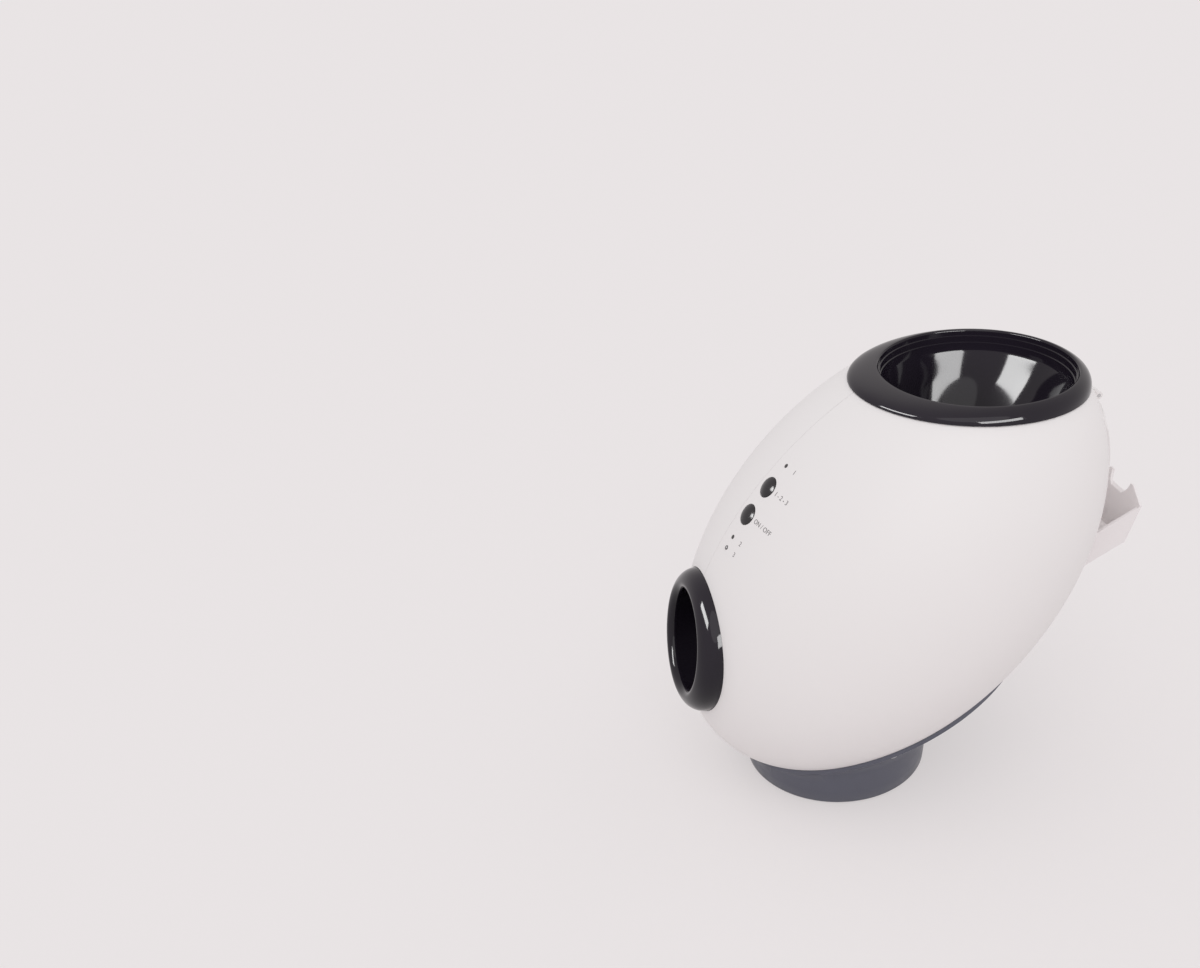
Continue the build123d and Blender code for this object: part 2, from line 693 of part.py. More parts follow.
def make_hopper_bowl():
    """Black bowl that the ball is dropped into, with its crowned rim."""
    flange = flange_form(0) - flange_form(RIM_WALL)
    return flange + bowl_form(BOWL_WALL, -RIM_WALL / 2) + rim_skirt() - bowl_form(0, LIP_R)


def make_muzzle_ring():
    """Trumpet ring round the mouth, plugged into the housing's nose."""
    bore_out = MUZZLE_BORE_R + TUBE_WALL + SEAT + RING_SKIRT_THICK
    skirt_in = RING_R - RING_SKIRT_THICK
    with BuildPart() as ring:
        with BuildSketch(Plane.XZ):
            with BuildLine():
                outer = ThreePointArc(
                    (RING_R, RING_EDGE_BACK), (RING_R - 2.6, -3.6), (RING_CREST_R, RING_CREST_OUT))
                inner = ThreePointArc(
                    outer @ 1, (RING_CREST_R - 3.0, 0.6), (MUZZLE_BORE_R, -5.0))
                Polyline(
                    inner @ 1, (MUZZLE_BORE_R, TUBE_FRONT + SEAT), (MUZZLE_BORE_R + TUBE_WALL + SEAT, TUBE_FRONT + SEAT),
                    (MUZZLE_BORE_R + TUBE_WALL + SEAT, RING_SKIRT_BACK), (bore_out, RING_SKIRT_BACK),
                    (bore_out, RING_EDGE_BACK), (skirt_in, RING_EDGE_BACK - 2), (skirt_in, RING_SKIRT_BACK),
                    (RING_R, RING_SKIRT_BACK), outer @ 0)
            make_face()
        revolve(axis=Axis.Z)
    return LAUNCH * ring.part


def make_launch_tube():
    """Short barrel between the wheels and the muzzle ring."""
    tube = pipe(MUZZLE_BORE_R + TUBE_WALL, MUZZLE_BORE_R, TUBE_BACK, TUBE_FRONT)
    front = TUBE_BACK + BULKHEAD_THICK
    return LAUNCH * (tube + pipe(TUBE_FLANGE_R, MUZZLE_BORE_R, front, front + TUBE_FLANGE_THICK))


# ------------------------------------------------------------------ wheels and their frame

def wheel_plane(side):
    """Plane at a wheel's centre, Z along its axle."""
    centre = LAUNCH.from_local_coords(Vector(side * WHEEL_OUT, 0, WHEEL_BACK))
    return Plane(origin=centre, x_dir=(0, 1, 0), z_dir=LAUNCH.y_dir)


def make_hub(side):
    """Wheel hub: rim, web with holes, and a boss round the shaft."""
    rim_r = TYRE_R - TYRE_THICK
    hub = pipe(rim_r, rim_r - 2.5, -WHEEL_HALF_HEIGHT, WHEEL_HALF_HEIGHT)
    hub += rod(rim_r - 1, -HUB_WEB_HALF, HUB_WEB_HALF)
    hub += rod(SHAFT_R + HUB_BORE_WALL, -WHEEL_HALF_HEIGHT, WHEEL_HALF_HEIGHT - 2)
    hub -= rod(SHAFT_R + RUN, -REACH, REACH)
    hole_ring = (SHAFT_R + HUB_BORE_WALL + rim_r - 2.5) / 2
    for index in range(HUB_HOLES):
        hub -= Rot(Z=360 * index / HUB_HOLES) * Pos(hole_ring, 0, 0) * rod(HUB_HOLE_R, -REACH, REACH)
    return wheel_plane(side) * hub


def make_tyre(side):
    """Rubber tyre, hollowed to fit the ball."""
    inner = TYRE_R - TYRE_THICK + RUN
    high = WHEEL_HALF_HEIGHT
    with BuildPart() as tyre:
        with BuildSketch(Plane.XZ):
            with BuildLine():
                tread = ThreePointArc((TYRE_R, 1 - high), (TYRE_R - TYRE_GROOVE, 0), (TYRE_R, high - 1))
                Polyline(tread @ 1, (TYRE_R - 1, high), (inner, high), (inner, -high), (TYRE_R - 1, -high), tread @ 0)
            make_face()
        revolve(axis=Axis.Z)
    return wheel_plane(side) * tyre.part


def make_shaft(side):
    """Steel shaft from the motor into the hub."""
    bottom = -FRAME_DROP - SHAFT_SINK
    return wheel_plane(side) * rod(SHAFT_R, bottom, SHAFT_TOP)


def motor_screw_spots():
    """Places of a wheel motor's screws round its shaft."""
    return [Pos(0, sign * MOTOR_SCREW_OFFSET, 0) for sign in (-1, 1)]


def make_wheel_motor(side):
    """Wheel motor hung under the frame, its nose through the plate."""
    top = -FRAME_DROP - FRAME_THICK
    can = rod(MOTOR_R, top - MOTOR_LONG, top) - block((-REACH, REACH), (MOTOR_R * 0.86, REACH), (top - MOTOR_LONG, top))
    can -= block((-REACH, REACH), (-REACH, -MOTOR_R * 0.86), (top - MOTOR_LONG, top))
    can += rod(MOTOR_NOSE_R, top, top + MOTOR_NOSE_HIGH)
    can += rod(MOTOR_NOSE_R, top - MOTOR_LONG - 2, top - MOTOR_LONG)
    can += block((-6, -3), (-3, 3), (top - MOTOR_LONG - MOTOR_TAB_LONG, top - MOTOR_LONG))
    can += block((3, 6), (-3, 3), (top - MOTOR_LONG - MOTOR_TAB_LONG, top - MOTOR_LONG))
    can -= rod(SHAFT_R + RUN, -FRAME_DROP - SHAFT_SINK - SLIDE, REACH)
    for spot in motor_screw_spots():
        can -= spot * rod(SCREW_R, top - 6, top + 1)
    return wheel_plane(side) * can


def make_motor_screws():
    """Screws that hold the two wheel motors to the frame."""
    screws = []
    for side in (1, -1):
        for spot in motor_screw_spots():
            screws.append(screw(wheel_plane(side) * spot, -FRAME_DROP, FRAME_THICK + 5))
    return screws


def frame_screw_plane(x, y):
    """Plane on the frame's top over a post of the bottom cover."""
    return Plane(origin=(x, y, frame_under(x) + FRAME_THICK / cos(THROW)), z_dir=(0, 0, 1))


def chute_tab(side):
    """Tab that rests on the frame and holds the chute's front end."""
    inner = CHANNEL_R - CHUTE_TAB_LONG / 2
    u = (inner, CHUTE_TAB_OUT) if side > 0 else (-CHUTE_TAB_OUT, -inner)
    back = FRAME_BACK + CHUTE_TAB_INSET
    return block(u, (-FRAME_DROP, -FRAME_DROP + CHUTE_WALL), (back, back + CHUTE_TAB_LONG))


def chute_screw_places():
    """Places on the frame's top where the chute's tabs are screwed down."""
    along = FRAME_BACK + CHUTE_TAB_INSET + CHUTE_TAB_LONG / 2
    out = CHUTE_TAB_OUT - SCREW_HEAD_R * 2
    return [Pos(side * out, -FRAME_DROP, along) * Rot(X=-90) for side in (1, -1)]


def make_launcher_frame():
    """Plate with motor seats, the gutter between the wheels and the bulkhead."""
    top, low = -FRAME_DROP, -FRAME_DROP - FRAME_THICK
    bulkhead_front = TUBE_BACK + BULKHEAD_THICK
    plate = block((-FRAME_HALF_WIDTH, FRAME_HALF_WIDTH), (low, top), (FRAME_BACK, bulkhead_front))
    gap_half = CHANNEL_R + CHUTE_WALL + SLIDE
    trough_gap = block((-gap_half, gap_half), (-REACH, REACH), (FRAME_BACK - 1, GUTTER_BACK + SLIDE))
    gutter = pipe(CHANNEL_R + FRAME_THICK, CHANNEL_R, GUTTER_BACK, TUBE_BACK - SLIDE)
    gutter &= block((-REACH, REACH), (-REACH, top), (-REACH, REACH))
    bulk = rod(BULKHEAD_R, TUBE_BACK, bulkhead_front)
    frame = plate - trough_gap + bulk - rod(CHANNEL_R, GUTTER_BACK - 1, TUBE_BACK + 1) + gutter
    frame -= rod(MUZZLE_BORE_R + TUBE_WALL + SEAT, TUBE_BACK - 0.1, 0)
    frame -= block((-REACH, REACH), (12.0, REACH), (-REACH, REACH))
    for side in (1, -1):
        frame -= Pos(side * WHEEL_OUT, 0, WHEEL_BACK) * Rot(X=-90) * Cylinder(MOTOR_NOSE_R + SEAT, REACH)
        for spot in motor_screw_spots():
            across = spot.position.Y
            frame -= Pos(side * WHEEL_OUT, 0, WHEEL_BACK - across) * Rot(X=-90) * Cylinder(SCREW_R + SEAT, REACH)
    for place in chute_screw_places():
        frame -= place * rod(SCREW_R, -REACH, 1)
    frame = (LAUNCH * frame) & egg(-WALL - SEAT)
    for x, y in POSTS:
        frame -= Pos(x, y, 0) * rod(SCREW_R + SEAT, 0, REACH)
    return frame


def make_frame_screws():
    """Screws that hold the wheel frame to the posts of the bottom cover."""
    screws = []
    for x, y in POSTS:
        rise = SCREW_HEAD_R * tan(THROW)
        screws.append(screw(frame_screw_plane(x, y), rise, FRAME_THICK + SCREW_BITE))
    for place in chute_screw_places():
        screws.append(LAUNCH * place * screw(Plane.XY, CHUTE_WALL, CHUTE_WALL + FRAME_THICK + 2))
    return screws


# ------------------------------------------------------------------ chute, gate and sensors

def above_ramp(drop):
    """Everything above a plane that runs under the ramp's middle line."""
    return RAMP * block((-REACH, REACH), (-drop, REACH), (-REACH, REACH))


def trough(radius, high, start, end):
    """Round-bottomed trough form along the ramp."""
    round_part = rod(radius, start, end)
    return RAMP * (round_part + block((-radius, radius), (0, high), (start, end)))


def make_ball_chute():
    """Drop tube under the bowl and the sloping trough that leads to the wheels."""
    tube_r = THROAT_R + BOWL_WALL + SLIDE
    wall = CHUTE_WALL
    throat_x = LIP.from_local_coords(Vector(THROAT_SHIFT, 0, -CHUTE_TOP)).X
    long = (RAMP_END_X - throat_x) / cos(FALL)
    outside = (THROAT * rod(tube_r + wall, -REACH, -CHUTE_TOP)) & above_ramp(CHANNEL_R + wall)
    inside = (THROAT * rod(tube_r, -REACH, -CHUTE_TOP + 1)) & above_ramp(CHANNEL_R)
    outside += trough(CHANNEL_R + wall, CHUTE_SIDE_HIGH, 0, long)
    for side in (1, -1):
        inner = GATE_HALF_WIDTH + SLIDE * 3
        span = (inner, inner + EAR_THICK) if side > 0 else (-inner - EAR_THICK, -inner)
        around = (GATE_BACK - EAR_HALF_LONG, GATE_BACK + EAR_HALF_LONG)
        outside += RAMP * block(span, (GATE_Y - GATE_HUB_R, -CHANNEL_R + 3), around)
        outside += LAUNCH * chute_tab(side)
        seat = Pos(side * (CHANNEL_R + wall), SENSOR_UP, SENSOR_BACK) * Rot(Y=90) * Cylinder(SENSOR_R + 1.5, 6)
        outside += RAMP * seat
    chute = outside - inside - trough(CHANNEL_R, CHANNEL_R + CHUTE_WALL, -REACH / 4, long)
    slot = block(
        (-GATE_HALF_WIDTH - SLIDE * 3, GATE_HALF_WIDTH + SLIDE * 3), (-REACH, 0),
        (GATE_SLOT_FRONT, GATE_BACK + GATE_BLADE_THICK))
    chute -= RAMP * slot
    chute -= RAMP * Pos(0, GATE_Y, GATE_BACK) * Rot(Y=90) * Cylinder(GATE_PIN_R + RUN, REACH)
    chute -= RAMP * Pos(0, SENSOR_UP, SENSOR_BACK) * Rot(Y=90) * Cylinder(SENSOR_R + SEAT, REACH)
    for place in chute_screw_places():
        chute -= LAUNCH * place * rod(SCREW_R + SEAT, -1, CHUTE_WALL + 1)
    return chute


def make_gate_flap():
    """Flap that holds the ball back, with its two pins."""
    inner = GATE_HALF_WIDTH + SLIDE * 2
    half = GATE_BLADE_THICK / 2
    blade = block((-GATE_HALF_WIDTH, GATE_HALF_WIDTH), (0, GATE_BLADE_HIGH), (-half, half))
    blade -= Pos(0, GATE_BLADE_HIGH + BALL_R * 0.94, 0) * Cylinder(BALL_R, REACH)
    hub = Rot(Y=90) * Cylinder(GATE_HUB_R, 2 * inner)
    pin_end = GATE_HALF_WIDTH + SLIDE * 3 + EAR_THICK
    pins = Rot(Y=90) * rod(GATE_PIN_R, -pin_end, pin_end + 5)
    return RAMP * Pos(0, GATE_Y, GATE_BACK) * (blade + hub + pins)


def make_gate_servo():
    """Geared servo that turns the flap's longer pin."""
    start = GATE_HALF_WIDTH + SLIDE * 3 + EAR_THICK + SEAT
    low = GATE_Y - SERVO_HIGH / 2
    body = block((start, start + SERVO_WIDE), (low, low + SERVO_HIGH), (GATE_BACK - 6, GATE_BACK - 6 + SERVO_LONG))
    flange = block((start + 4, start + 6), (low, low + SERVO_HIGH), (GATE_BACK - 11, GATE_BACK - 1 + SERVO_LONG))
    bore = Pos(0, GATE_Y, GATE_BACK) * Rot(Y=90) * rod(GATE_PIN_R + RUN, start - 1, start + 6)
    return RAMP * (body + flange - bore)


def make_ball_sensors():
    """Light gate across the trough: sender on one side, receiver on the other."""
    sensors = []
    for side in (1, -1):
        start = CHANNEL_R + SEAT
        can = rod(SENSOR_R, start, start + SENSOR_LONG) + rod(SENSOR_R + 1, start + 6.0, start + 7.5)
        turn = Rot(Y=90 * side)
        sensors.append(RAMP * Pos(0, SENSOR_UP, SENSOR_BACK) * turn * can)
    return sensors


# ------------------------------------------------------------------ buttons and boards

def make_button(spot):
    """Push button with a domed cap, a retaining flange and a stem."""
    crown = skin_height(spot) + BUTTON_PROUD
    dome_r = (BUTTON_R**2 + BUTTON_PROUD**2) / (2 * BUTTON_PROUD)
    under = -COLLAR_DEEP - SLIDE
    cap = rod(BUTTON_R, under - 0.5, crown) & Pos(0, 0, crown - dome_r) * Sphere(dome_r)
    cap += rod(BUTTON_R, under - 0.5, crown - BUTTON_PROUD)
    cap += rod(BUTTON_R + BUTTON_FLANGE, under - BUTTON_FLANGE_THICK, under)
    plunger_top = -PANEL_DEEP + PANEL_BOARD[2] + SWITCH_HIGH + PLUNGER_HIGH
    cap += rod(BUTTON_STEM_R, plunger_top + BUTTON_TRAVEL + SEAT, under)
    return ROW * Pos(spot, 0, 0) * cap


def make_mode_lamps():
    """Light pipes from the board's lamps to the housing's surface."""
    floor = -PANEL_DEEP + PANEL_BOARD[2] + SEAT
    return [ROW * Pos(spot, 0, 0) * rod(LAMP_R, floor, skin_height(spot) + LAMP_PROUD) for spot in LAMP_SPOTS]


def make_button_board():
    """Small circuit board behind the button row."""
    long, wide, thick = PANEL_BOARD
    board = Pos(PANEL_BOARD_SHIFT, 0, -PANEL_DEEP + thick / 2) * Box(long, wide, thick)
    for spot in PANEL_POSTS:
        board -= Pos(spot, 0, 0) * rod(SCREW_R + SEAT, -REACH, 0)
    return ROW * board


def make_tact_switches():
    """Switches under the two buttons."""
    base = -PANEL_DEEP + PANEL_BOARD[2]
    half = SWITCH_SIDE / 2
    one = block((-half, half), (-half, half), (base, base + SWITCH_HIGH))
    one += rod(PLUNGER_R, base + SWITCH_HIGH - 0.5, base + SWITCH_HIGH + PLUNGER_HIGH)
    return [ROW * Pos(spot, 0, 0) * one for spot in BUTTON_SPOTS]


def make_board_screws():
    """Screws of the button board and the main board."""
    screws = []
    for spot in PANEL_POSTS:
        place = ROW * Pos(spot, 0, -PANEL_DEEP) * Rot(X=180)
        screws.append(place * (rod(SCREW_HEAD_R, 0, SCREW_HEAD_HIGH) + rod(SCREW_R - RUN, -7, 0)))
    for x, y in main_board_posts():
        top = MAIN_BOARD_Z + MAIN_BOARD[2]
        screws.append(Pos(x, y, top) * (rod(SCREW_HEAD_R, 0, SCREW_HEAD_HIGH) + rod(SCREW_R - RUN, -6, 0)))
    return screws


def make_main_board():
    """Main circuit board in the foot."""
    long, wide, thick = MAIN_BOARD
    board = Pos(MAIN_BOARD_X, 0, MAIN_BOARD_Z + thick / 2) * Box(long, wide, thick)
    for x, y in main_board_posts():
        board -= Pos(x, y, 0) * rod(SCREW_R + SEAT, 0, REACH)
    return board


def make_board_parts():
    """Large parts on the main board: capacitors, relays and connectors."""
    top = MAIN_BOARD_Z + MAIN_BOARD[2]
    parts = [Pos(MAIN_BOARD_X + x, -14, 0) * rod(5.0, top, top + 12) for x in (-14, -2)]
    parts += [block((MAIN_BOARD_X + x, MAIN_BOARD_X + x + 12), (-2, 14), (top, top + 10)) for x in (-20, -5, 10)]
    parts.append(block((MAIN_BOARD_X + 8, MAIN_BOARD_X + 24), (-18, -8), (top, top + 7)))
    return parts


# ------------------------------------------------------------------ treats

def make_treat_bin():
    """Treat bin behind the lid, with the drum's housing and the motor bracket."""
    outline = [(-REACH, BIN_LOW), (BIN_FRONT[0][0], BIN_LOW), *BIN_FRONT, (-REACH, BIN_HIGH)]
    inside = [(-REACH, BIN_LOW + BIN_WALL), (BIN_FRONT[0][0] - BIN_WALL, BIN_LOW + BIN_WALL)]
    inside += [(x - BIN_WALL, z) for x, z in BIN_FRONT[:-1]]
    inside += [(BIN_FRONT[-1][0] - BIN_WALL, BIN_HIGH - BIN_WALL), (-REACH, BIN_HIGH - BIN_WALL)]
    half = BIN_HALF_WIDTH
    bin_outer = side_slab(outline, -half, half)
    void = side_slab(inside, BIN_WALL - half, half - BIN_WALL)
    side_in = DRUM_HALF_LONG + DRUM_ROOM
    side_out = side_in + DRUM_WALL
    shell_r = DRUM_R + DRUM_ROOM + BIN_WALL
    plates = []
    low_front = (PINION_X + 9, PINION_Z - 8)
    slope = radians(SLIDE_SLOPE)
    slide_x, slide_z = TREAT_SLIDE_TOP
    slide_end = (slide_x - TREAT_SLIDE_LONG * cos(slope), slide_z - TREAT_SLIDE_LONG * sin(slope) - BIN_WALL * 1.5)
    cheek = [
        (low_front[0], BIN_LOW + 1), low_front, (slide_x, slide_z - BIN_WALL * 1.5), slide_end,
        (DRUM_X - shell_r, DRUM_Z), (DRUM_X - shell_r, BIN_LOW + 1)]
    for low, high in ((side_in, side_out), (-side_out, -side_in)):
        plates.append(side_slab(cheek, low, high))
    drum_shell = cross_rod(shell_r, DRUM_X, DRUM_Z, -side_out, side_out)
    neck = block((DRUM_X - shell_r, DRUM_X + shell_r), (-side_out, side_out), (DRUM_Z, BIN_LOW + 1))
    post_y = GEAR_START_Y + GEAR_WIDE + SLIDE * 2
    face = block((PINION_X - 7, PINION_X + 9), (post_y, post_y + BRACKET_THICK), (PINION_Z - 8, PINION_Z + 8))
    arm = block((PINION_X + 7.5, PINION_X + 9), (side_in, post_y + 1), (PINION_Z - 8, PINION_Z + 8))
    treat_bin = bin_outer + drum_shell + neck + join(plates) + face + arm
    treat_bin -= void
    treat_bin -= cross_rod(DRUM_R + DRUM_ROOM, DRUM_X, DRUM_Z, -side_in, side_in)
    treat_bin -= block((DRUM_X - 13, DRUM_X + 13), (-side_in, side_in), (DRUM_Z, BIN_LOW + BIN_WALL + 1))
    treat_bin -= block((DRUM_X - 11, DRUM_X + 9), (-side_in, side_in), (DRUM_Z - REACH / 10, DRUM_Z))
    treat_bin -= cross_rod(AXLE_R + RUN, DRUM_X, DRUM_Z, -REACH / 2, REACH / 2)
    treat_bin -= cross_rod(PINION_SHAFT_R + SLIDE, PINION_X, PINION_Z, side_out, REACH)
    return treat_bin & egg(-WALL - SLIDE)


def gear_outline(teeth, module):
    """Spur gear outline with involute flanks, one tooth centred on +X."""
    pitch_r = module * teeth / 2
    base_r = pitch_r * cos(radians(20))
    tip_r = pitch_r + module
    root_r = pitch_r - 1.25 * module
    half_at_pitch = pi / (2 * teeth) + involute_angle(pitch_r, base_r)
    points = []
    for tooth in range(teeth):
        middle = 2 * pi * tooth / teeth
        flank = []
        for radius in (max(base_r, root_r), pitch_r, tip_r):
            flank.append((radius, half_at_pitch - involute_angle(radius, base_r)))
        side = [(root_r, flank[0][1] + 0.01), *flank]
        for radius, turn in side:
            points.append((radius * cos(middle - turn), radius * sin(middle - turn)))
        for radius, turn in reversed(side):
            points.append((radius * cos(middle + turn), radius * sin(middle + turn)))
    return points


def involute_angle(radius, base_r):
    """Polar angle of an involute at a radius."""
    slope = sqrt(max((radius / base_r) ** 2 - 1, 0))
    return slope - radians(degrees_atan(slope))


def degrees_atan(value):
    """Arctangent in degrees."""
    return Vector(1, 0, 0).get_angle(Vector(1, value, 0))


def spur_gear(teeth, x, z, turn):
    """Spur gear on an axis along Y, turned so that its teeth mesh."""
    face = make_face(Polyline(*gear_outline(teeth, GEAR_MODULE), close=True))
    blank = extrude(face, amount=GEAR_WIDE)
    return Pos(x, GEAR_START_Y + GEAR_WIDE, z) * Rot(X=90) * Rot(Z=turn) * blank


def make_treat_drum():
    """Star drum that carries one portion of treats to the tray."""
    drum = cross_rod(DRUM_CORE_R, DRUM_X, DRUM_Z, -DRUM_HALF_LONG, DRUM_HALF_LONG)
    half = DRUM_VANE_THICK / 2
    for index in range(DRUM_VANES):
        vane = block((0, DRUM_R), (-DRUM_HALF_LONG, DRUM_HALF_LONG), (-half, half))
        drum += Pos(DRUM_X, 0, DRUM_Z) * Rot(Y=360 * index / DRUM_VANES) * vane
    drum &= cross_rod(DRUM_R, DRUM_X, DRUM_Z, -DRUM_HALF_LONG, DRUM_HALF_LONG)
    return drum - cross_rod(AXLE_R + RUN, DRUM_X, DRUM_Z, -REACH, REACH)


def make_drum_axle():
    """Axle through the drum and its gear."""
    low = -DRUM_HALF_LONG - DRUM_ROOM - DRUM_WALL
    return cross_rod(AXLE_R, DRUM_X, DRUM_Z, low, GEAR_START_Y + GEAR_WIDE + 1)


def make_drum_gear():
    """Driven gear on the drum's axle, with its hub."""
    gear = spur_gear(GEAR_TEETH, DRUM_X, DRUM_Z, 0)
    return gear - cross_rod(AXLE_R + RUN, DRUM_X, DRUM_Z, -REACH, REACH)


def make_drive_pinion():
    """Pinion on the gear motor's shaft."""
    turn = -PINION_ANGLE * (1 + GEAR_TEETH / PINION_TEETH) + 180 + 180 / PINION_TEETH
    gear = spur_gear(PINION_TEETH, PINION_X, PINION_Z, turn)
    shaft_end = GEAR_START_Y + GEAR_WIDE + SLIDE * 2 + BRACKET_THICK + 6
    return gear + cross_rod(PINION_SHAFT_R, PINION_X, PINION_Z, GEAR_START_Y, shaft_end)


def make_treat_motor():
    """Small gear motor on the bin's bracket."""
    start = GEAR_START_Y + GEAR_WIDE + SLIDE * 2 + BRACKET_THICK
    wide, high, long = GEARMOTOR
    body = block((PINION_X - wide / 2, PINION_X + wide / 2), (start, start + long), (PINION_Z - high / 2, PINION_Z + high / 2))
    return body - cross_rod(PINION_SHAFT_R + RUN, PINION_X, PINION_Z, start - 1, start + 7)


def make_treat_slide():
    """Sloping slide from the drum to the tray."""
    slope = radians(SLIDE_SLOPE)
    x, z = TREAT_SLIDE_TOP
    half = DRUM_HALF_LONG + DRUM_ROOM - SEAT
    plane = Plane(origin=(x, 0, z), x_dir=(-cos(slope), 0, -sin(slope)), z_dir=(-sin(slope), 0, cos(slope)))
    slide = block((0, TREAT_SLIDE_LONG), (-half, half), (-BIN_WALL, TREAT_SLIDE_SIDE))
    return plane * (slide - block((-1, REACH), (BIN_WALL - half, half - BIN_WALL), (0, REACH)))


def make_treat_lid():
    """Curved door of the treat bin, with its hinge knuckle and pull."""
    panel = (egg(LID_PROUD) - egg(LID_PROUD - LID_THICK)) & lid_outline(0)
    barrel = cross_rod(LID_KNUCKLE_R, LID_PIN_X, LID_PIN_Z, -LID_KNUCKLE_HALF, LID_KNUCKLE_HALF)
    web_x = (LID_PIN_X - LID_KNUCKLE_R * 0.8, LID_PIN_X + LID_KNUCKLE_R * 0.8)
    web = block(web_x, (-LID_KNUCKLE_HALF, LID_KNUCKLE_HALF), (LID_HIGH - LID_THICK, LID_PIN_Z))
    back = back_of_egg(LID_LOW)
    pull_x = (back - LID_PROUD - LID_PULL_OUT, back + 1)
    pull = block(pull_x, (-LID_PULL_HALF, LID_PULL_HALF), (LID_LOW, LID_LOW + LID_PULL_HIGH))
    lid = panel + barrel + web + pull
    return lid - cross_rod(LID_PIN_R + RUN, LID_PIN_X, LID_PIN_Z, -REACH, REACH)


def make_lid_hinge_pin():
    """Steel pin of the lid's hinge."""
    half = LID_KNUCKLE_HALF + SHELL_KNUCKLE_LONG
    return cross_rod(LID_PIN_R, LID_PIN_X, LID_PIN_Z, -half, half)


def tray_point(out, up):
    """(x, z) of a place in the tray, out along its floor and up square to it."""
    x, z = TRAY_FOOT
    return (x + TRAY_OUT[0] * out + TRAY_NORMAL[0] * up, z + TRAY_OUT[1] * out + TRAY_NORMAL[1] * up)


def tray_lean_at(up):
    """How far out the end wall's outer face is at a height square to the floor."""
    out = TRAY_UP[0] * TRAY_OUT[0] + TRAY_UP[1] * TRAY_OUT[1]
    high = TRAY_UP[0] * TRAY_NORMAL[0] + TRAY_UP[1] * TRAY_NORMAL[1]
    return up * out / high


def make_treat_tray():
    """Open tray with a notched end wall for the dog's muzzle."""
    top = TRAY_SIDE_HIGH
    wall = TRAY_WALL
    back = -TRAY_FLOOR - TRAY_LAP
    outline = [tray_point(back, 0), tray_point(0, 0), tray_point(tray_lean_at(top), top), tray_point(back, top)]
    inside = [
        tray_point(back - 1, wall), tray_point(tray_lean_at(wall) - wall, wall),
        tray_point(tray_lean_at(top + 1) - wall, top + 1), tray_point(back - 1, top + 1)]
    half = TRAY_HALF_WIDTH
    tray = side_slab(outline, -half, half) - side_slab(inside, wall - half, half - wall)
    lean = radians(TRAY_LEAN)
    end = Plane(origin=(TRAY_FOOT[0], 0, TRAY_FOOT[1]), x_dir=(0, -1, 0), z_dir=(-cos(lean), 0, -sin(lean)))
    shoulder = top / (TRAY_UP[0] * TRAY_NORMAL[0] + TRAY_UP[1] * TRAY_NORMAL[1])
    plate = Polygon(
        (-half, -1.5), (half, -1.5), (half, shoulder), (TRAY_PEAK_Y, TRAY_END_HIGH),
        (-TRAY_PEAK_Y, TRAY_END_HIGH), (-half, shoulder), align=None)
    plate -= Pos(0, TRAY_END_HIGH) * Circle(TRAY_NOTCH_R)
    tray += end * extrude(plate, amount=-wall)
    tray -= egg(SEAT)
    front = TRAY_LAP / 2 - TRAY_FLOOR
    tongue = [tray_point(back, 0), tray_point(front, 0), tray_point(front, wall), tray_point(back, wall)]
    return tray + side_slab(tongue, -TRAY_MOUTH_HALF, TRAY_MOUTH_HALF)


# ------------------------------------------------------------------ all nodes

def make_nodes():
    """Every node of the part by name."""
    nodes = {
        "left_shell": make_left_shell(),
        "right_shell": make_right_shell(),
        "bottom_cover": make_bottom_cover(),
        "foot_pads": make_foot_pads(),
        "cover_screws": make_cover_screws(),
        "shell_screws": make_shell_screws(),
        "power_inlet": make_power_inlet(),
        "hopper_bowl": make_hopper_bowl(),
        "muzzle_ring": make_muzzle_ring(),
        "launch_tube": make_launch_tube(),
        "launcher_frame": make_launcher_frame(),
        "frame_screws": make_frame_screws(),
        "motor_screws": make_motor_screws(),
        "ball_chute": make_ball_chute(),
        "gate_flap": make_gate_flap(),
        "gate_servo": make_gate_servo(),
        "ball_sensors": make_ball_sensors(),
        "mode_button": make_button(BUTTON_SPOTS[0]),
        "power_button": make_button(BUTTON_SPOTS[1]),
        "mode_lamps": make_mode_lamps(),
        "button_board": make_button_board(),
        "tact_switches": make_tact_switches(),
        "board_screws": make_board_screws(),
        "main_board": make_main_board(),
        "board_parts": make_board_parts(),
        "treat_bin": make_treat_bin(),
        "treat_drum": make_treat_drum(),
        "drum_axle": make_drum_axle(),
        "drum_gear": make_drum_gear(),
        "drive_pinion": make_drive_pinion(),
        "treat_motor": make_treat_motor(),
        "treat_slide": make_treat_slide(),
        "treat_lid": make_treat_lid(),
        "lid_hinge_pin": make_lid_hinge_pin(),
        "treat_tray": make_treat_tray(),
    }
    for side, name in ((1, "left"), (-1, "right")):
        nodes[f"{name}_wheel_hub"] = make_hub(side)
        nodes[f"{name}_wheel_tyre"] = make_tyre(side)
        nodes[f"{name}_wheel_shaft"] = make_shaft(side)
        nodes[f"{name}_wheel_motor"] = make_wheel_motor(side)
    return nodes


def main():
    """Write one STEP file per node."""
    os.makedirs("parts", exist_ok=True)
    for name, shape in make_nodes().items():
        solids = shape if isinstance(shape, list) else [shape]
        export_step(Compound(children=[solid for item in solids for solid in item.solids()]), f"parts/{name}.step")


main()
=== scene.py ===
"""Looks for the automatic ball and treat launcher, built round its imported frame."""

import logging
from collections.abc import Sequence
from dataclasses import dataclass
from enum import Enum
from functools import cached_property
from math import asin, atan2, cos, hypot, pi, radians, sin

import bmesh
import bpy
import numpy as np
from mathutils import Matrix, Vector


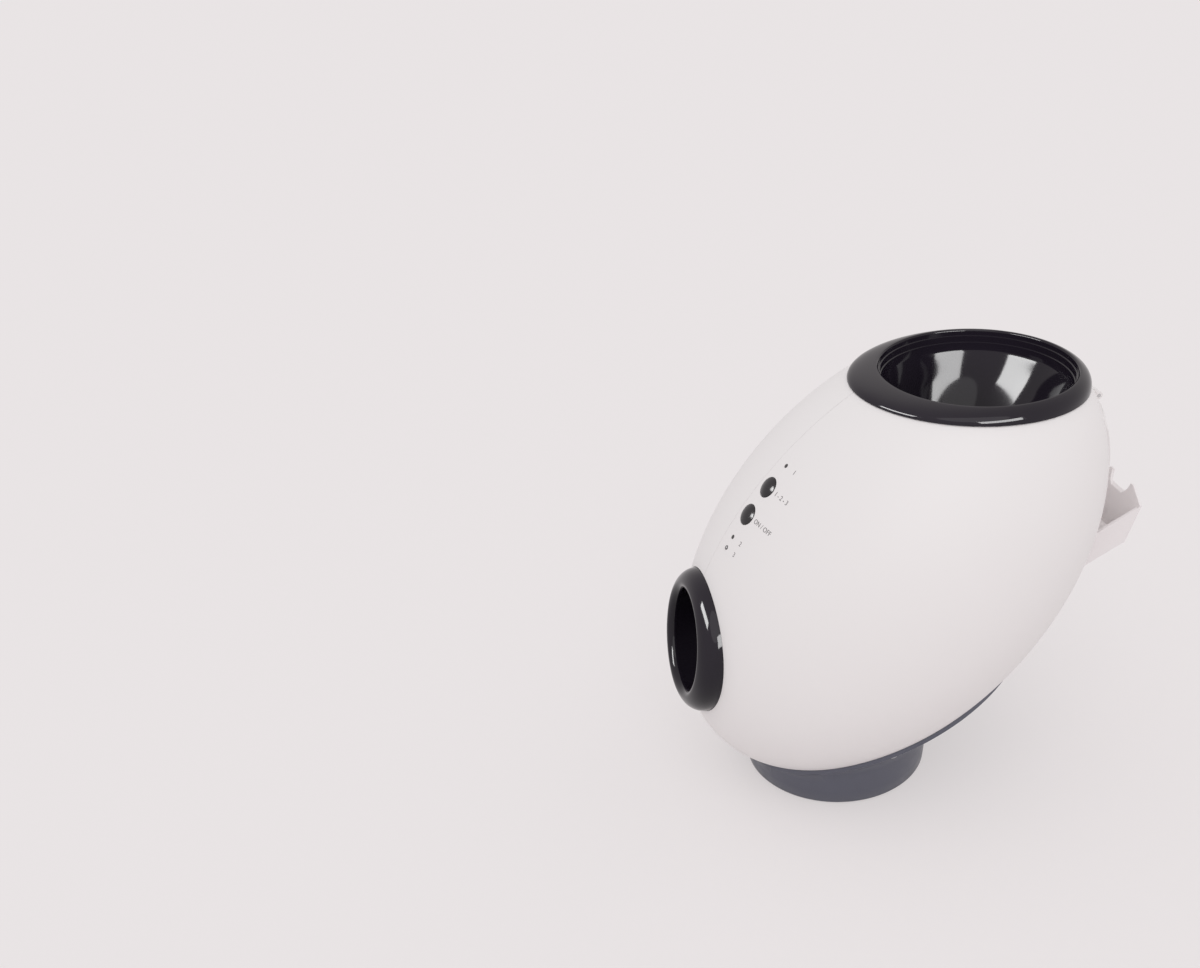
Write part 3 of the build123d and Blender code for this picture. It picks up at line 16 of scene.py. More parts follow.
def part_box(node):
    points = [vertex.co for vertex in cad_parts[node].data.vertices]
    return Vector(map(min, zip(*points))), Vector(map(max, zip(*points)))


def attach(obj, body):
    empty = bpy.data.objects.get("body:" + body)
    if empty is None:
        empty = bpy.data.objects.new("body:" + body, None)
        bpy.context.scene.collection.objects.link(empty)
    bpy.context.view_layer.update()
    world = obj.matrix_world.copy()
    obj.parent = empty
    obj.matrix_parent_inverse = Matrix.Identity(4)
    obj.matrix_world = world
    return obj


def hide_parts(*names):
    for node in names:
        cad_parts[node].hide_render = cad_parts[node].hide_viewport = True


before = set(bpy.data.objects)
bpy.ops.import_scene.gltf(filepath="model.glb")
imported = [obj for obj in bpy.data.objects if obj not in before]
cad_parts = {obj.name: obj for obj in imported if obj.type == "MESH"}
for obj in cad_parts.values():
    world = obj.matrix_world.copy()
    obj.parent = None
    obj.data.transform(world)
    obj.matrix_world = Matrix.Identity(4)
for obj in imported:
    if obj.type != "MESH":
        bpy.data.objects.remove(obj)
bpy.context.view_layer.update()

LOG = logging.getLogger("launcher")
MM = 0.001
ROUND_STEPS = 192
EASE_STEPS = 5
SHARP_ANGLE = radians(32)
POLE_RADIUS = 1e-6
MERGE = 1e-7
PACKED_MERGE = 2e-6
FIGURE_MERGE = 1e-4
GREY_DUST = (0.62, 0.60, 0.57)
NOISE_RANGE = (0.3, 0.7)
SMOOTHEST = 0.01

Colour = tuple[float, float, float]
Point = tuple[float, float, float]
Pair = tuple[float, float]
Mesh = bpy.types.Mesh
Thing = bpy.types.Object
Material = bpy.types.Material
Socket = bpy.types.NodeSocket
Work = bmesh.types.BMesh


# ---------------------------------------------------------------- mesh helpers

def place(origin: Point, x_dir: Point, z_dir: Point) -> Matrix:
    """Matrix of a plane given in millimetres, as the part's own planes are.

    Args:
        origin: the plane's origin.
        x_dir: its X direction.
        z_dir: its normal.

    Returns:
        The matrix that carries plane coordinates into the row frame, both in millimetres.
    """
    z_axis = Vector(z_dir).normalized()
    x_axis = Vector(x_dir)
    x_axis = (x_axis - z_axis * x_axis.dot(z_axis)).normalized()
    turned = Matrix((x_axis, z_axis.cross(x_axis), z_axis)).transposed().to_4x4()
    return Matrix.Translation(Vector(origin)) @ turned


def leaning(x: float, z: float, tilt: float) -> Matrix:
    """Plane across the machine at (x, z) in millimetres, tipped backwards by tilt degrees."""
    lean = radians(tilt)
    return place((x, 0, z), (cos(lean), 0, sin(lean)), (-sin(lean), 0, cos(lean)))


def shown(name: str, data: bpy.types.ID) -> Thing:
    """Puts new data in the scene as an object at the origin."""
    thing = bpy.data.objects.new(name, data)
    bpy.context.scene.collection.objects.link(thing)
    return thing


def smoothed(mesh: Mesh) -> Mesh:
    """Mesh with smooth shading and edges that are sharp by angle."""
    mesh.polygons.foreach_set("use_smooth", [True] * len(mesh.polygons))
    mesh.set_sharp_from_angle(angle=SHARP_ANGLE)
    return mesh


def evaluated(holder: Thing) -> Mesh:
    """Plain mesh of an object with its modifiers applied."""
    graph = bpy.context.evaluated_depsgraph_get()
    return bpy.data.meshes.new_from_object(holder.evaluated_get(graph), depsgraph=graph)


def written(work: Work, name: str) -> Mesh:
    """Turns a working mesh into a mesh and frees it."""
    mesh = bpy.data.meshes.new(name)
    work.to_mesh(mesh)
    work.free()
    return mesh


def joined(name: str, meshes: Sequence[Mesh]) -> Mesh:
    """One mesh of several."""
    work = bmesh.new()
    for mesh in meshes:
        work.from_mesh(mesh)
    return written(work, name)


def outward(work: Work, name: str) -> Mesh:
    """Mesh of a closed working mesh, with its doubles joined and its faces turned outwards."""
    bmesh.ops.remove_doubles(work, verts=work.verts, dist=MERGE)
    bmesh.ops.recalc_face_normals(work, faces=work.faces)
    return written(work, name)


def from_rings(name: str, rings: Sequence[Sequence[Vector]]) -> Mesh:
    """Closed mesh through rings of points, of which the last joins the first.

    Args:
        name: the mesh's name.
        rings: rings with equal numbers of points, in millimetres in the row frame.

    Returns:
        A mesh in metres whose faces point outwards.
    """
    work = bmesh.new()
    rows = [[work.verts.new(point * MM) for point in ring] for ring in rings]
    for low, high in zip(rows, [*rows[1:], rows[0]]):
        for index, corner in enumerate(low):
            after = (index + 1) % len(low)
            work.faces.new((corner, low[after], high[after], high[index]))
    return outward(work, name)


def ring_points(where: Matrix, half_x: float, half_y: float, z: float, steps: int) -> list[Vector]:
    """Ring of points on an ellipse in a plane, in millimetres."""
    turns = [2 * pi * index / steps for index in range(steps)]
    return [where @ Vector((half_x * cos(turn), half_y * sin(turn), z)) for turn in turns]


def eased(before: Pair, corner: Pair, after: Pair, radius: float) -> list[Pair]:
    """Short curve in place of a corner between two other points.

    Args:
        before: the point before the corner.
        corner: the corner.
        after: the point after it.
        radius: how far from the corner the curve starts and ends.

    Returns:
        The curve's points.
    """
    here = Vector(corner)
    back, ahead = ((Vector(other) - here).normalized() * radius for other in (before, after))
    shares = [step / EASE_STEPS for step in range(EASE_STEPS + 1)]
    return [tuple(here + back * (1 - share) ** 2 + ahead * share**2) for share in shares]


def arc_through(start: Pair, middle: Pair, end: Pair, steps: int) -> list[Pair]:
    """Points on the arc through three points.

    Args:
        start: first point.
        middle: a point on the arc between the ends.
        end: last point.
        steps: number of steps along the arc.

    Returns:
        The points from start to end.
    """
    (ax, ay), (bx, by), (cx, cy) = start, middle, end
    a, b, c = ax**2 + ay**2, bx**2 + by**2, cx**2 + cy**2
    twice = 2 * (ax * (by - cy) + bx * (cy - ay) + cx * (ay - by))
    ux = (a * (by - cy) + b * (cy - ay) + c * (ay - by)) / twice
    uy = (a * (cx - bx) + b * (ax - cx) + c * (bx - ax)) / twice
    radius = hypot(ax - ux, ay - uy)
    first, through, last = (atan2(y - uy, x - ux) for x, y in (start, middle, end))
    sweep = (last - first) % (2 * pi)
    if (through - first) % (2 * pi) > sweep:
        sweep -= 2 * pi
    turns = [first + sweep * step / steps for step in range(steps + 1)]
    return [(ux + radius * cos(turn), uy + radius * sin(turn)) for turn in turns]


def smooth_rows(knots: Sequence[Point], parts: int) -> list[Point]:
    """Rows along a Catmull-Rom curve.

    Args:
        knots: rows of numbers to pass through.
        parts: steps between two knots.

    Returns:
        The rows, knots included.
    """
    rows: list[Point] = []
    last = len(knots) - 1
    for index in range(last):
        ends = (knots[max(index - 1, 0)], knots[index], knots[index + 1], knots[min(index + 2, last)])
        for step in range(parts):
            t = step / parts
            rows.append(tuple(
                b + 0.5 * t * (c - a + t * (2 * a - 5 * b + 4 * c - d + t * (3 * b - a - 3 * c + d)))
                for a, b, c, d in zip(*ends)))
    return [*rows, knots[-1]]


def settled(mesh: Mesh, where: Matrix) -> Mesh:
    """Carries a mesh in metres from a plane given in millimetres into the row frame."""
    matrix = where.copy()
    matrix.translation = where.translation * MM
    mesh.transform(matrix)
    return mesh


# ---------------------------------------------------------------- the egg

@dataclass(frozen=True)
class Egg:
    """The housing's ellipsoid, in millimetres."""

    centre: Point = (-40.0, 0.0, 160.5)
    long: float = 176.5
    half_width: float = 120.0
    short: float = 111.5
    tilt: float = 46.0

    @cached_property
    def axes(self) -> np.ndarray:
        """The ellipsoid's three axes, one to a row."""
        lean = radians(self.tilt)
        return np.array(((cos(lean), 0, -sin(lean)), (0, 1, 0), (sin(lean), 0, cos(lean))))

    def halves(self, grow: float = 0.0) -> np.ndarray:
        """Half lengths along the three axes, grown by an offset."""
        return np.array((self.long, self.half_width, self.short)) + grow

    def local(self, points: np.ndarray) -> np.ndarray:
        """Points in millimetres along the ellipsoid's own axes."""
        return (points - np.array(self.centre)) @ self.axes.T

    def normals(self, points: np.ndarray) -> np.ndarray:
        """Outward directions at points in millimetres."""
        out = (self.local(points) / self.halves() ** 2) @ self.axes
        return out / np.linalg.norm(out, axis=-1, keepdims=True)

    def depths(self, points: np.ndarray) -> np.ndarray:
        """How far outside the ellipsoid points lie, in millimetres, close to its surface."""
        local = self.local(points)
        level = np.linalg.norm(local / self.halves(), axis=-1)
        slope = np.linalg.norm(local / self.halves() ** 2, axis=-1) / level
        return (level - 1) / slope

    def crossings(
            self, points: np.ndarray, ways: np.ndarray, grow: float = 0.0) -> tuple[np.ndarray, np.ndarray]:
        """Distances along lines at which they enter and leave the ellipsoid.

        Args:
            points: a point on each line, in millimetres.
            ways: the direction of each line.
            grow: offset by which the ellipsoid is grown.

        Returns:
            The distances of entering and leaving, measured from the points.
        """
        start = self.local(points) / self.halves(grow)
        step = (ways @ self.axes.T) / self.halves(grow)
        square = (step * step).sum(axis=-1)
        middle = (start * step).sum(axis=-1)
        root = np.sqrt(np.maximum(middle**2 - square * ((start * start).sum(axis=-1) - 1), 0.0))
        return (-middle - root) / square, (root - middle) / square

    def onto(self, points: np.ndarray, grow: float) -> np.ndarray:
        """Points moved along the ellipsoid's normals onto a grown copy of it."""
        out = self.normals(points)
        near, far = self.crossings(points, out, grow)
        return points + out * np.where(np.abs(far) < np.abs(near), far, near)[:, None]

    def above(self, point: Vector, way: Vector) -> Vector:
        """Where a line from a point leaves the ellipsoid."""
        return point + way * float(self.crossings(np.array(point), np.array(way))[1])


EGG = Egg()


@dataclass(frozen=True)
class EggCopier:
    """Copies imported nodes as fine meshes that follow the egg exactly."""

    reach: float = 0.3
    alignment: float = 0.9
    rounds: int = 3

    def marks(self, work: Work, layers: Sequence[float]) -> tuple[np.ndarray, np.ndarray, np.ndarray]:
        """Finds which vertices and faces of a triangle mesh lie on grown copies of the egg.

        Args:
            work: the mesh, in metres, of triangles only.
            layers: offsets of the egg, in millimetres.

        Returns:
            The vertices' places in millimetres, and the layer's index of each vertex and of each
            face, -1 where there is none.
        """
        work.verts.index_update()
        spots = np.array([vert.co for vert in work.verts]) / MM
        gaps = np.abs(EGG.depths(spots)[:, None] - np.array(layers)[None, :])
        near = gaps.argmin(axis=1)
        near[gaps.min(axis=1) > self.reach] = -1
        corners = np.array([[vert.index for vert in face.verts] for face in work.faces])
        marks = near[corners[:, 0]]
        same = (near[corners] == marks[:, None]).all(axis=1)
        facing = np.array([face.normal for face in work.faces])
        along = np.abs((EGG.normals(spots[corners].mean(axis=1)) * facing).sum(axis=1))
        marks[~(same & (along > self.alignment))] = -1
        return spots, near, marks

    def copy(self, node: str, name: str, layers: Sequence[float], edge: float) -> Mesh:
        """Fine, smooth copy of a node whose large faces lie on grown copies of the egg.

        Args:
            node: the node to copy.
            name: the new mesh's name.
            layers: offsets of the egg, in millimetres, on which the node has faces.
            edge: longest edge of the copy's faces on those layers, in millimetres.

        Returns:
            The new mesh, with its own shading normals on those faces.
        """
        work = merged_copy(node)
        for _ in range(self.rounds):
            work.normal_update()
            _, _, marks = self.marks(work, layers)
            curved = [face for face, mark in zip(work.faces, marks) if mark >= 0]
            long_edges = {side for face in curved for side in face.edges if side.calc_length() > edge * MM}
            if not long_edges:
                break
            bmesh.ops.subdivide_edges(work, edges=list(long_edges), cuts=1)
            bmesh.ops.triangulate(work, faces=work.faces)
        spots, near, _ = self.marks(work, layers)
        for index, layer in enumerate(layers):
            chosen = near == index
            spots[chosen] = EGG.onto(spots[chosen], layer)
        for vert, spot in zip(work.verts, spots):
            vert.co = spot * MM
        work.normal_update()
        _, _, marks = self.marks(work, layers)
        mesh = smoothed(written(work, name))
        normals = np.array([corner.vector for corner in mesh.corner_normals])
        smooth = np.repeat(marks >= 0, 3)
        corners = np.array([corner.vertex_index for corner in mesh.loops])[smooth]
        facing = np.repeat(np.array([face.normal for face in mesh.polygons]), 3, axis=0)[smooth]
        out = EGG.normals(spots[corners])
        normals[smooth] = out * np.sign((out * facing).sum(axis=1))[:, None]
        mesh.normals_split_custom_set(normals.tolist())
        return mesh


def merged_copy(node: str) -> Work:
    """A node's mesh with its loose triangles joined."""
    work = bmesh.new()
    work.from_mesh(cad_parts[node].data)
    bmesh.ops.remove_doubles(work, verts=work.verts, dist=PACKED_MERGE)
    return work


# ---------------------------------------------------------------- node trees

class Nodes:
    """Node tree in which each input takes a value, or the sockets that feed it."""

    def __init__(self, tree: bpy.types.NodeTree) -> None:
        """Takes a tree to fill."""
        self.tree = tree

    @classmethod
    def of(cls, owner: Material | bpy.types.World) -> "Nodes":
        """Emptied tree of a material or a world."""
        owner.use_nodes = True
        owner.node_tree.nodes.clear()
        return cls(owner.node_tree)

    def add(
            self, kind: str, inputs: dict[int | str, object] | None = None,
            **settings: object) -> bpy.types.NodeOutputs:
        """Adds a node.

        Args:
            kind: the node's type name.
            inputs: by name or number, what each input takes: a value, a socket or a list of sockets.
            settings: the node's own properties.

        Returns:
            The node's outputs.
        """
        node = self.tree.nodes.new(kind)
        for key, value in settings.items():
            setattr(node, key, value)
        for key, given in (inputs or {}).items():
            socket = node.inputs[key]
            for value in given if isinstance(given, list) else [given]:
                if isinstance(value, Socket):
                    self.tree.links.new(value, socket)
                else:
                    socket.default_value = (*value, 1.0) if socket.type == "RGBA" else value
        return node.outputs

    def math(self, operation: str, *values: object, **settings: object) -> Socket:
        """Result of a Math node on values or sockets."""
        return self.add("ShaderNodeMath", dict(enumerate(values)), operation=operation, **settings)[0]

    def product(self, *values: object) -> Socket:
        """Values or sockets multiplied one after the other."""
        result, *others = values
        for value in others:
            result = self.math("MULTIPLY", result, value)
        return result

    def mapped(self, value: Socket, *ends: float) -> Socket:
        """Value carried from one range onto 0 to 1, or onto a second range."""
        return self.add("ShaderNodeMapRange", {0: value, **dict(enumerate(ends, 1))})[0]

    def noise(self, scale: Socket, detail: float, roughness: float) -> Socket:
        """Noise on Object coordinates."""
        spot = self.add("ShaderNodeTexCoord")["Object"]
        return self.add("ShaderNodeTexNoise", {
            "Vector": spot, "Scale": scale, "Detail": detail, "Roughness": roughness})["Fac"]

    def mixed(self, share: Socket, low: object, high: object) -> Socket:
        """Colour between two colours or colour sockets."""
        return self.add("ShaderNodeMix", {0: share, 6: low, 7: high}, data_type="RGBA")[2]

    def seen_rays(self) -> Socket:
        """Socket that is 1 where a surface is seen, mirrored or looked at through glass."""
        rays = self.add("ShaderNodeLightPath")
        mirrored = self.math("MAXIMUM", rays["Is Glossy Ray"], rays["Is Transmission Ray"])
        return self.math("MAXIMUM", rays["Is Camera Ray"], mirrored)


class NodeGroup(Nodes):
    """Node group with named inputs and outputs."""

    socket_kinds = {int: "NodeSocketInt", float: "NodeSocketFloat", tuple: "NodeSocketColor"}

    def __init__(self, name: str, kind: str, inputs: dict[str, object], outputs: dict[str, str]) -> None:
        """Makes the group's interface.

        Args:
            name: the group's name.
            kind: the tree's type name.
            inputs: default value of each input, or its socket type where it has none.
            outputs: socket type of each output.
        """
        super().__init__(bpy.data.node_groups.new(name, kind))
        for key, value in inputs.items():
            if isinstance(value, str):
                self.tree.interface.new_socket(key, in_out="INPUT", socket_type=value)
                continue
            socket_type = self.socket_kinds[type(value)]
            socket = self.tree.interface.new_socket(key, in_out="INPUT", socket_type=socket_type)
            socket.default_value = (*value, 1.0) if isinstance(value, tuple) else value
        for key, socket_type in outputs.items():
            self.tree.interface.new_socket(key, in_out="OUTPUT", socket_type=socket_type)
        self.given = self.tree.nodes.new("NodeGroupInput").outputs


def make_grain_group() -> bpy.types.NodeTree:
    """Moulded grain: a fine and a coarse noise on Object coordinates.

    Returns:
        A group with Fine Scale, Coarse Scale and Coarse Share, putting out Height and Tone.
    """
    group = NodeGroup(
        "moulded_grain", "ShaderNodeTree", {"Fine Scale": 900.0, "Coarse Scale": 60.0, "Coarse Share": 0.3},
        {"Height": "NodeSocketFloat", "Tone": "NodeSocketFloat"})
    fine = group.noise(group.given["Fine Scale"], detail=3.0, roughness=0.55)
    coarse = group.noise(group.given["Coarse Scale"], detail=2.0, roughness=0.5)
    share = group.given["Coarse Share"]
    height = group.add("ShaderNodeMix", {0: share, 2: fine, 3: coarse}, data_type="FLOAT")[0]
    group.add("NodeGroupOutput", {"Height": height, "Tone": coarse})
    return group.tree


def make_dust_group() -> bpy.types.NodeTree:
    """Thin dust that settles on what faces up, in soft patches.

    Returns:
        A group with Base, Dust, Amount and Patch Scale, putting out Color and Mask.
    """
    upward_range, patch_range = (0.1, 1.0), (0.38, 0.72)
    group = NodeGroup(
        "settled_dust", "ShaderNodeTree",
        {"Base": (0.5, 0.5, 0.5), "Dust": GREY_DUST, "Amount": 0.1, "Patch Scale": 18.0},
        {"Color": "NodeSocketColor", "Mask": "NodeSocketFloat"})
    given = group.given
    out = group.add("ShaderNodeNewGeometry")["Normal"]
    facing = group.mapped(group.add("ShaderNodeSeparateXYZ", {0: out})["Z"], *upward_range)
    patches = group.mapped(group.noise(given["Patch Scale"], detail=5.0, roughness=0.6), *patch_range)
    amount = group.math("MULTIPLY", group.product(facing, patches), given["Amount"], use_clamp=True)
    group.add("NodeGroupOutput", {"Color": group.mixed(amount, given["Base"], given["Dust"]), "Mask": amount})
    return group.tree


# ---------------------------------------------------------------- geometry trees

class ShapeTree(NodeGroup):
    """Geometry Nodes tree with named inputs for its sizes."""

    def __init__(self, name: str, sizes: dict[str, float]) -> None:
        """Makes the tree's interface, with the default of each size."""
        inputs = {"Geometry": "NodeSocketGeometry", **sizes, "Material": "NodeSocketMaterial"}
        super().__init__(name, "GeometryNodeTree", inputs, {"Geometry": "NodeSocketGeometry"})

    def vector(self, x: object = 0.0, y: object = 0.0, z: object = 0.0) -> Socket:
        """Vector of three values or sockets."""
        return self.add("ShaderNodeCombineXYZ", {"X": x, "Y": y, "Z": z})[0]

    def spot(self) -> tuple[Socket, Socket, Socket, Socket]:
        """A point's three coordinates and its distance from the Z axis, squared."""
        here = self.add("GeometryNodeInputPosition")[0]
        x, y, z = self.add("ShaderNodeSeparateXYZ", {"Vector": here}).values()
        return x, y, z, self.math("ADD", self.product(x, x), self.product(y, y))

    def cylinder(self, radius: Socket, high: object, vertices: int, sides: int = 1, fills: int = 1) -> Socket:
        """Cylinder of so many vertices round, cut in parts along its side and across its ends."""
        return self.add("GeometryNodeMeshCylinder", {
            "Vertices": vertices, "Side Segments": sides, "Fill Segments": fills, "Radius": radius,
            "Depth": high})[0]

    def moved(self, geometry: Socket, offset: object) -> Socket:
        """Geometry shifted as a whole."""
        return self.add("GeometryNodeTransform", {"Geometry": geometry, "Translation": offset})[0]

    def shaped(self, geometry: Socket, offset: Socket) -> Socket:
        """Geometry with each point shifted by its own offset."""
        return self.add("GeometryNodeSetPosition", {"Geometry": geometry, "Offset": offset})[0]

    def at_points(self, instance: Socket, **inputs: Socket) -> Socket:
        """Copies of some geometry, one at each point that the tree starts from."""
        return self.add("GeometryNodeInstanceOnPoints", {
            "Points": self.given["Geometry"], "Instance": instance, **inputs})[0]

    def attribute(self, name: str, data_type: str) -> Socket:
        """Attribute that the tree's points carry."""
        return self.add("GeometryNodeInputNamedAttribute", {"Name": name}, data_type=data_type)[0]

    def wave(self, place_along: Socket, count: Socket) -> Socket:
        """1 in the second half of each of so many waves, which start an eighth of a wave early."""
        eighth = 0.125
        waves = self.math("ADD", self.product(place_along, count), eighth)
        return self.math("GREATER_THAN", self.math("FRACT", waves), 0.5)

    def close(self, geometry: Socket) -> "ShapeTree":
        """Ends the tree: instances made real, and the material set."""
        real = self.add("GeometryNodeRealizeInstances", {"Geometry": geometry})[0]
        paint = self.add("GeometryNodeSetMaterial", {"Geometry": real, "Material": self.given["Material"]})[0]
        self.add("NodeGroupOutput", {0: paint})
        return self

    def grow(self, name: str, seed: Mesh, sizes: dict[str, float], material: Material) -> Mesh:
        """Runs the tree on a mesh and takes the result as a plain mesh.

        Args:
            name: the new mesh's name.
            seed: the mesh that the tree starts from.
            sizes: values of the named inputs.
            material: the finish of the result.

        Returns:
            The new mesh, closed and facing outwards.
        """
        holder = shown(name, seed)
        modifier = holder.modifiers.new("shape", "NODES")
        modifier.node_group = self.tree
        values = {**sizes, "Material": material}
        for item in self.tree.interface.items_tree:
            if item.in_out == "INPUT" and item.name in values:
                modifier[item.identifier] = values[item.name]
        grown = evaluated(holder)
        holder.modifiers.remove(modifier)
        bpy.data.objects.remove(holder)
        work = bmesh.new()
        work.from_mesh(grown)
        return outward(work, name)


def seed_mesh(spots: Sequence[Point], edges: Sequence[tuple[int, int]] = ()) -> Mesh:
    """Mesh of points in metres, and of the edges between them, for a tree to start from."""
    mesh = bpy.data.meshes.new("seed")
    mesh.from_pydata(spots, edges, [])
    return mesh


def outline_mesh(outline: Sequence[Pair], radius: float) -> Mesh:
    """Closed wire of (radius, height) points in millimetres, measured from a circle's radius."""
    spots = [((out - radius) * MM, -height * MM, 0.0) for out, height in outline]
    return seed_mesh(spots, [(index, (index + 1) % len(spots)) for index in range(len(spots))])


def make_ring_tree() -> ShapeTree:
    """Outline swept round a circle, with grip grooves cut across what lies outside a radius.

    Returns:
        A tree that starts from the outline's wire.
    """
    tree = ShapeTree("swept_ring", {
        "Radius": 0.04, "Steps": 192, "Grooves": 0.0, "Groove Depth": 0.0, "Groove Radius": 1.0,
        "Groove Half": 1.0})
    given, math = tree.given, tree.math
    wire = tree.add("GeometryNodeMeshToCurve", {"Mesh": given["Geometry"]})[0]
    circle = tree.add("GeometryNodeCurvePrimitiveCircle", {
        "Resolution": given["Steps"], "Radius": given["Radius"]})[0]
    ring = tree.add("GeometryNodeCurveToMesh", {"Curve": circle, "Profile Curve": wire})[0]
    x, y, z, square = tree.spot()
    far = math("SQRT", square)
    wave = tree.wave(math("DIVIDE", math("ARCTAN2", y, x), 2 * pi), given["Grooves"])
    outside = math("GREATER_THAN", far, given["Groove Radius"])
    within = math("LESS_THAN", math("ABSOLUTE", z), given["Groove Half"])
    depth = tree.product(outside, wave, within, given["Groove Depth"])
    scale = math("DIVIDE", depth, tree.product(far, -1.0))
    return tree.close(tree.shaped(ring, tree.vector(tree.product(x, scale), tree.product(y, scale))))


def make_screw_tree() -> ShapeTree:
    """Pan-head screws with a cross recess, one at each point of the mesh.

    Returns:
        A tree that reads the attributes facing and shank from the points.
    """
    shank_middle = -0.49
    tree = ShapeTree("pan_head_screws", {
        "Head Radius": 0.0029, "Head Height": 0.0018, "Dome": 0.0008, "Shank Radius": 0.00135,
        "Recess Length": 0.0034, "Recess Width": 0.0007, "Recess Depth": 0.001, "Seed": 5})
    given = tree.given
    radius, high = given["Head Radius"], given["Head Height"]
    head = tree.cylinder(radius, high, vertices=28, fills=4)
    _, _, z, square = tree.spot()
    share = tree.math("DIVIDE", square, tree.product(radius, radius))
    drop = tree.product(share, given["Dome"], tree.math("GREATER_THAN", z, 0.0), -1.0)
    domed = tree.shaped(head, tree.vector(z=drop))
    raised = tree.moved(domed, tree.vector(z=tree.math("DIVIDE", high, 2.0)))
    long, wide = given["Recess Length"], given["Recess Width"]
    deep = tree.product(given["Recess Depth"], 2.0)
    bars = [
        tree.moved(tree.add("GeometryNodeMeshCube", {"Size": tree.vector(*size)})[0], tree.vector(z=high))
        for size in ((long, wide, deep), (wide, long, deep))]
    cut = {"Mesh 1": raised, "Mesh 2": bars}
    cross = tree.add("GeometryNodeMeshBoolean", cut, operation="DIFFERENCE", solver="EXACT")[0]
    facing = tree.attribute("facing", "FLOAT_VECTOR")
    aimed = tree.add("FunctionNodeAlignRotationToVector", {"Vector": facing}, axis="Z")[0]
    heads = tree.at_points(cross, Rotation=aimed)
    spin = tree.add("FunctionNodeRandomValue", {3: pi / 2, "Seed": given["Seed"]}, data_type="FLOAT")[1]
    turned = tree.add("GeometryNodeRotateInstances", {"Instances": heads, "Rotation": tree.vector(z=spin)})[0]
    shank = tree.cylinder(given["Shank Radius"], 1.0, vertices=16)
    hung = tree.moved(shank, (0.0, 0.0, shank_middle))
    length = tree.vector(1.0, 1.0, tree.attribute("shank", "FLOAT"))
    shanks = tree.at_points(hung, Rotation=aimed, Scale=length)
    return tree.close(tree.add("GeometryNodeJoinGeometry", {0: [turned, shanks]})[0])


def make_pad_tree() -> ShapeTree:
    """Round pads with ring grooves underneath, one at each point of the mesh.

    Returns:
        A tree that starts from the pads' points.
    """
    plain_rim, outermost, nearly_half = 0.93, 0.99, 0.49
    tree = ShapeTree("ringed_pads", {
        "Radius": 0.008, "Thickness": 0.0025, "Rings": 4.0, "Groove Depth": 0.0005, "Edge": 0.0004})
    given, math = tree.given, tree.math
    radius, thick = given["Radius"], given["Thickness"]
    disc = tree.cylinder(radius, thick, vertices=48, sides=4, fills=16)
    x, y, z, square = tree.spot()
    share = math("DIVIDE", math("SQRT", square), radius)
    wave = tree.wave(share, given["Rings"])
    end = tree.product(thick, nearly_half)
    under = tree.product(math("LESS_THAN", z, 0.0), math("LESS_THAN", share, plain_rim))
    lowest = math("GREATER_THAN", tree.product(z, -1.0), end)
    bottom = tree.product(under, wave, given["Groove Depth"], lowest)
    flat = math("GREATER_THAN", math("ABSOLUTE", z), end)
    rim = tree.product(flat, math("GREATER_THAN", share, outermost), given["Edge"])
    pull = math("DIVIDE", rim, tree.product(radius, -1.0))
    shaped = tree.shaped(disc, tree.vector(tree.product(x, pull), tree.product(y, pull), bottom))
    stood = tree.moved(shaped, tree.vector(z=math("DIVIDE", thick, 2.0)))
    return tree.close(tree.at_points(stood))


# ---------------------------------------------------------------- finishes

@dataclass(frozen=True)
class Finish:
    """One surface finish, as a painter would note it down."""

    name: str
    base: Colour
    tone: Colour
    roughness: float
    rough_spread: float = 0.04
    metallic: float = 0.0
    ior: float = 1.46
    coat: float = 0.0
    coat_roughness: float = 0.03
    fine_scale: float = 900.0
    coarse_scale: float = 45.0
    coarse_share: float = 0.35
    bump: float = 0.02
    bump_depth: float = 0.0002
    dust: float = 0.04
    dust_tint: Colour = GREY_DUST

    def build(self, grain_group: bpy.types.NodeTree, dust_group: bpy.types.NodeTree) -> Material:
        """Builds the node material.

        Args:
            grain_group: the shared group of the moulded grain.
            dust_group: the shared group of the settled dust.

        Returns:
            The material.
        """
        material = bpy.data.materials.new(self.name)
        material.diffuse_color = (*self.base, 1.0)
        nodes = Nodes.of(material)
        grain = nodes.add("ShaderNodeGroup", {
            "Fine Scale": self.fine_scale, "Coarse Scale": self.coarse_scale,
            "Coarse Share": self.coarse_share}, node_tree=grain_group)
        shade = nodes.mixed(grain["Tone"], self.base, self.tone)
        dusty = nodes.add(
            "ShaderNodeGroup", {"Base": shade, "Dust": self.dust_tint, "Amount": self.dust},
            node_tree=dust_group)["Color"]
        smooth, rough = max(self.roughness - self.rough_spread, SMOOTHEST), self.roughness + self.rough_spread
        polish = nodes.mapped(grain["Tone"], *NOISE_RANGE, smooth, rough)
        relief = nodes.add("ShaderNodeBump", {
            "Height": grain["Height"], "Strength": self.bump, "Distance": self.bump_depth})["Normal"]
        shader = nodes.add("ShaderNodeBsdfPrincipled", {
            "Base Color": dusty, "Roughness": polish, "Normal": relief, "Metallic": self.metallic,
            "IOR": self.ior, "Coat Weight": self.coat, "Coat Roughness": self.coat_roughness})[0]
        nodes.add("ShaderNodeOutputMaterial", {"Surface": shader})
        return material


